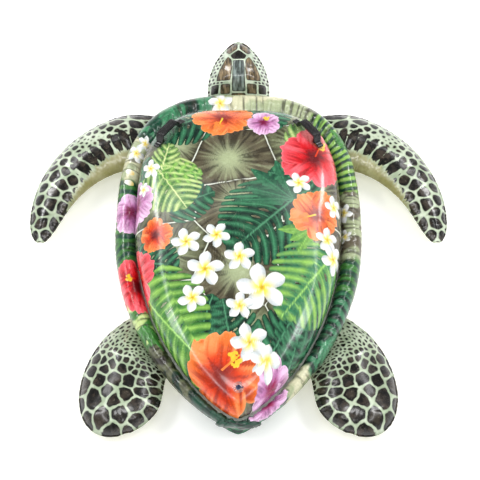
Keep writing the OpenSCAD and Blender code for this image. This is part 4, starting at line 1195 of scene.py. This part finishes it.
def clear_film(name, tint):
    """Thin clear vinyl welded over a print, which shows through it."""
    s = Shader(name)
    s.vinyl(s.mottled(40.0, 3.0, 0.35, 0.65, tint, tint * 0.8), 0.25, 0.8)
    bare = s.add("ShaderNodeBsdfTransparent")
    both = s.add("ShaderNodeMixShader", i0=0.86, i1=s.surface.outputs[0], i2=bare.outputs[0])
    s.tree.links.new(both.outputs[0], s.tree.nodes["Material Output"].inputs["Surface"])
    return s.material


def valve(which, place, clear, stem_clear, plug_blue):
    """Push-in valve: welded flange and pocket, sliding stem, check flap, and a plug on a strap."""
    def piece(part, body, slot, ob, *nodes):
        set_in(ob, place)
        ob.name = f"{which}_valve_{part}_piece"
        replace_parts(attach(ob, body), *nodes)
    name = f"{which}_valve"
    flange = lathe(name + "_flange_piece", [
        (9.6, -24), (10.4, -24), (10.4, -0.2), (11, 0.2), (20, 0.3), (20.3, 0.8), (19.9, 1.5), (18.9, 1.9),
        (17.8, 1.5), (16.8, 1.3), (15.6, 1.5), (15.0, 1.9), (14.4, 1.5), (12.6, 1.4), (11.6, 1.8),
        (10.6, 1.9), (9.7, 1.5), (9.6, 0)], clear)
    piece("flange", "float", "valve_clear", flange, name + "_flange")
    stem = lathe(name + "_stem_piece", [
        (6, -22), (9.0, -22), (9.5, -21.4), (9.5, -12), (9.2, -11.6), (9.2, -10.4), (9.5, -10), (9.5, -1),
        (9.3, 0.7), (8.8, 1.0), (7.2, 1.0), (6.4, 0.8), (6, 0.2)], stem_clear)
    piece("stem", name + "_stem", "valve_clear", stem, name + "_stem")
    flap = lathe(name + "_flap_piece", [
        (0, -22.3), (4.0, -22.3), (7.2, -22.3), (7.5, -22.5), (7.5, -23.0), (7.2, -23.3), (5, -23.2),
        (0, -23.2)], stem_clear, 48)
    piece("flap", name + "_flap", "valve_clear", flap, name + "_flap")
    plug = lathe(name + "_plug_piece", [
        (0, -8.6), (4.6, -8.6), (5.4, -8.0), (5.9, -6.6), (5.6, -6.0), (5.9, -5.4), (5.9, 1.3), (8.2, 1.3),
        (8.6, 1.8), (8.6, 3.1), (8.2, 3.6), (7.2, 3.7), (6.4, 3.4), (5.6, 2.9), (3.4, 2.7), (3.0, 3.1),
        (2.0, 3.4), (0, 3.4)], plug_blue)
    piece("plug", name + "_plug", "valve_plug", plug, name + "_plug")
    v = np.linspace(-1, 1, 9)
    strap = []
    for x in np.linspace(8.2, 17.6, 24):
        waist, end = math.exp(-((x - 12.5) / 1.6) ** 2), math.sqrt(max(0.04, (17.9 - x) / 2.2))
        half = 2.5 * (1 - 0.25 * waist) * min(1, end)
        crown = 3.1 - 0.5 * v ** 4 + 0.25 * math.sin((x - 8) * 1.2)
        strap.append(np.concatenate([np.stack([0 * v + x, v * half, crown], -1),
                                     np.stack([0 * v[1:-1] + x, -v[1:-1] * half, 0 * v[1:-1] + 2.1], -1)]))
    strap = np.stack(strap)
    tether = tube_mesh(name + "_tether_piece", strap, plug_blue)
    piece("tether", name + "_plug", "valve_plug", tether, name + "_tether")


def collar(name, root, move, material, side=1):
    """Strip of film that carries a root weld on to the hull. Its rows run from the hull outline out to that
    outline moved with the piece, across the gap between the two bodies.
    """
    cols, rows = 150, 9
    v = np.linspace(-1, 1, cols)
    angles = np.radians(root[0] + (root[1] - root[0]) * (v + 1) / 2)
    grid = []
    for k in range(rows):
        f = k / (rows - 1)
        x, y = hull_outline(angles, hull_side(root[2]), -1.5 + f * (ROOT_GAP + 5.5))
        flat = np.stack([x, y, np.full(cols, root[2])], -1)
        wave = 0.5 * np.sin(np.arange(cols) * 0.8)[:, None] * np.array([0, 0, 1.0]) * math.sin(math.pi * f)
        grid.append(mix(flat, move(flat), np.full(cols, smooth(0, 1, f))) + wave)
    grid = np.stack(grid)
    top, low = grid + (0, 0, 1.1), grid - (0, 0, 1.1)
    loop = np.concatenate([top, low[::-1]])
    faces = grid_faces(2 * rows, cols, wrap_rows=True)
    ob = make(name, loop * (side, 1, 1), faces, [(material, len(faces))])
    if side < 0:
        ob.data.flip_normals()
    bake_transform(ob)
    return ob


# --------------------------------------------------------------------------- build
shell = carapace()
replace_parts(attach(shell, "float"), "carapace_panel")

tube = rim()
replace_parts(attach(tube, "float"), "rim_upper_panel", "rim_lower_panel")

base = hull()
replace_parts(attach(base, "float"), "hull_side_panel", "hull_bottom_panel")

under = belly_material("flipper_belly_vinyl")
weld_film = moulded("weld_film", rgb("8fa07a"), rgb("6d7c5c"), 0.35)
for kind, setting, axis in (("front", FRONT, (0.3, 0.954, 0)), ("rear", REAR, (-0.63, 0.776, 0))):
    skin = scale_material(f"{kind}_flipper_vinyl")
    for which, side in (("left", 1), ("right", -1)):
        ob = flipper(kind, which, side, setting, axis, skin, under)
        body = f"{kind}_{which}_flipper"
        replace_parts(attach(ob, body), body + "_upper", body + "_lower")
        collar(body + "_root_weld", setting["root"], lambda p: hung(p, setting["spine"], axis, 1),
               weld_film, side)

face = head()
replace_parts(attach(face, "head"), "head_upper_panel", "head_lower_panel")
collar("neck_weld", HEAD["root"], lambda p: p, weld_film)

black = moulded("grip_vinyl", rgb("050406"), rgb("0d0b0f"), 0.16)
film = clear_film("patch_film", rgb("9db29a"))
for which, side in (("left", 1), ("right", -1)):
    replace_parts(handle(f"{which}_grip", side, black), f"{which}_handle_grip")
    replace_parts(patch(f"{which}_patch", side, shell, film), f"{which}_handle_patch")

clear = clear_film("valve_ring_film", rgb("b9c6c4"))
stem_clear = moulded("valve_stem_vinyl", rgb("b9c3c9"), rgb("8d999f"), 0.22, 0.35)
plug_blue = moulded("valve_plug_vinyl", rgb("1b2350"), rgb("0f1430"), 0.25)
VALVE_Y, VALVE_TILT = -712.0, 14.0
valve_z = DECK_Z + WALL + (FOOT_RISE + SHOULDER_HEIGHT) * float(fall(VALVE_Y))
for which, place, degrees, axis in (("carapace", (0, VALVE_Y, valve_z), VALVE_TILT, "X"),
                                    ("hull", (-(HULL[0] + HULL_BULGE), WIDEST_Y, BULGE_Z), -90, "Y")):
    set_at = Matrix.Translation(place) @ Matrix.Rotation(math.radians(degrees), 4, axis)
    valve(which, set_at, clear, stem_clear, plug_blue)

inner = moulded("inner_film", rgb("d7dbd2"), rgb("bcc2b6"), 0.4)
for node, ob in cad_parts.items():
    if node == "deck_panel" or node.startswith("hull_baffle"):
        ob.data.materials.clear()
        ob.data.materials.append(inner)

# --------------------------------------------------------------------------- stage
floor_mesh = bpy.data.meshes.new("floor")
HALF, BELOW = 30, -0.001
corners = [(x * HALF, y * HALF, BELOW) for x, y in ((-1, -1), (1, -1), (1, 1), (-1, 1))]
floor_mesh.from_pydata(corners, [], [(0, 1, 2, 3)])
floor = bpy.data.objects.new("floor", floor_mesh)
bpy.context.collection.objects.link(floor)
white = Shader("floor_white")
for socket, value in (("Base Color", (0.93, 0.93, 0.93, 1)), ("Roughness", 0.9), ("Specular IOR Level", 0.1),
                      ("Emission Color", (1, 1, 1, 1)), ("Emission Strength", 0.3)):
    white.surface.inputs[socket].default_value = value
floor_mesh.materials.append(white.material)

# bright near the horizon and darker above, so that glossy black and green keep their depth, with a
# thin bright band high up that draws a ring of light round each swollen form
world = bpy.data.worlds.new("studio")
sky = Shader("studio", world)
towards = sky.add("ShaderNodeTexCoord").outputs["Generated"]
direction = sky.add("ShaderNodeSeparateXYZ", Vector=towards).outputs
spread = sky.maths("ABSOLUTE", direction["X"])
band = sky.maths("MULTIPLY", sky.ramp(direction["Z"], 0.785, 0.80), sky.ramp(direction["Z"], 0.83, 0.85, 1, 0))
band = sky.maths("MULTIPLY", band, sky.ramp(spread, 0.1, 0.4, 1.5, 7.5))
backdrop = sky.tree.nodes["Background"].inputs
sky.put(backdrop["Strength"], sky.maths("ADD", sky.ramp(direction["Z"], 0.2, 0.55, 1.0, 0.17), band))
backdrop["Color"].default_value = (1, 1, 1, 1)
bpy.context.scene.world = world
bpy.context.scene.view_settings.view_transform = "Standard"


for name, place, width, height, power in (
        ("left_key", (-3.2, -0.6, 3.4), 0.7, 2.0, 36), ("right_key", (3.2, -0.6, 3.4), 0.7, 2.0, 36),
        ("left_streak", (-2.2, 2.0, 2.6), 0.3, 1.4, 24), ("right_streak", (2.2, 2.0, 2.6), 0.3, 1.4, 24),
        ("top", (0, -1.4, 4.4), 2.2, 0.5, 34)):
    light = bpy.data.lights.new(name, "AREA")
    light.shape, light.size, light.size_y, light.energy = "RECTANGLE", width, height, power
    ob = bpy.data.objects.new(name, light)
    ob.location = place
    ob.rotation_euler = (Vector((0, 0, 0.2)) - Vector(place)).to_track_quat("-Z", "Y").to_euler()
    bpy.context.collection.objects.link(ob)

camera = bpy.data.objects.new("camera", bpy.data.cameras.new("camera"))
bpy.context.collection.objects.link(camera)
target, elevation, distance = Vector((0.0057, -0.053, 0.15)), math.radians(60), 5
camera.location = target + Vector((0, -math.cos(elevation), math.sin(elevation))) * distance
camera.rotation_euler = (target - camera.location).to_track_quat("-Z", "Y").to_euler()
camera.data.lens = 98.7
camera.data.sensor_width = 36
bpy.context.scene.camera = camera
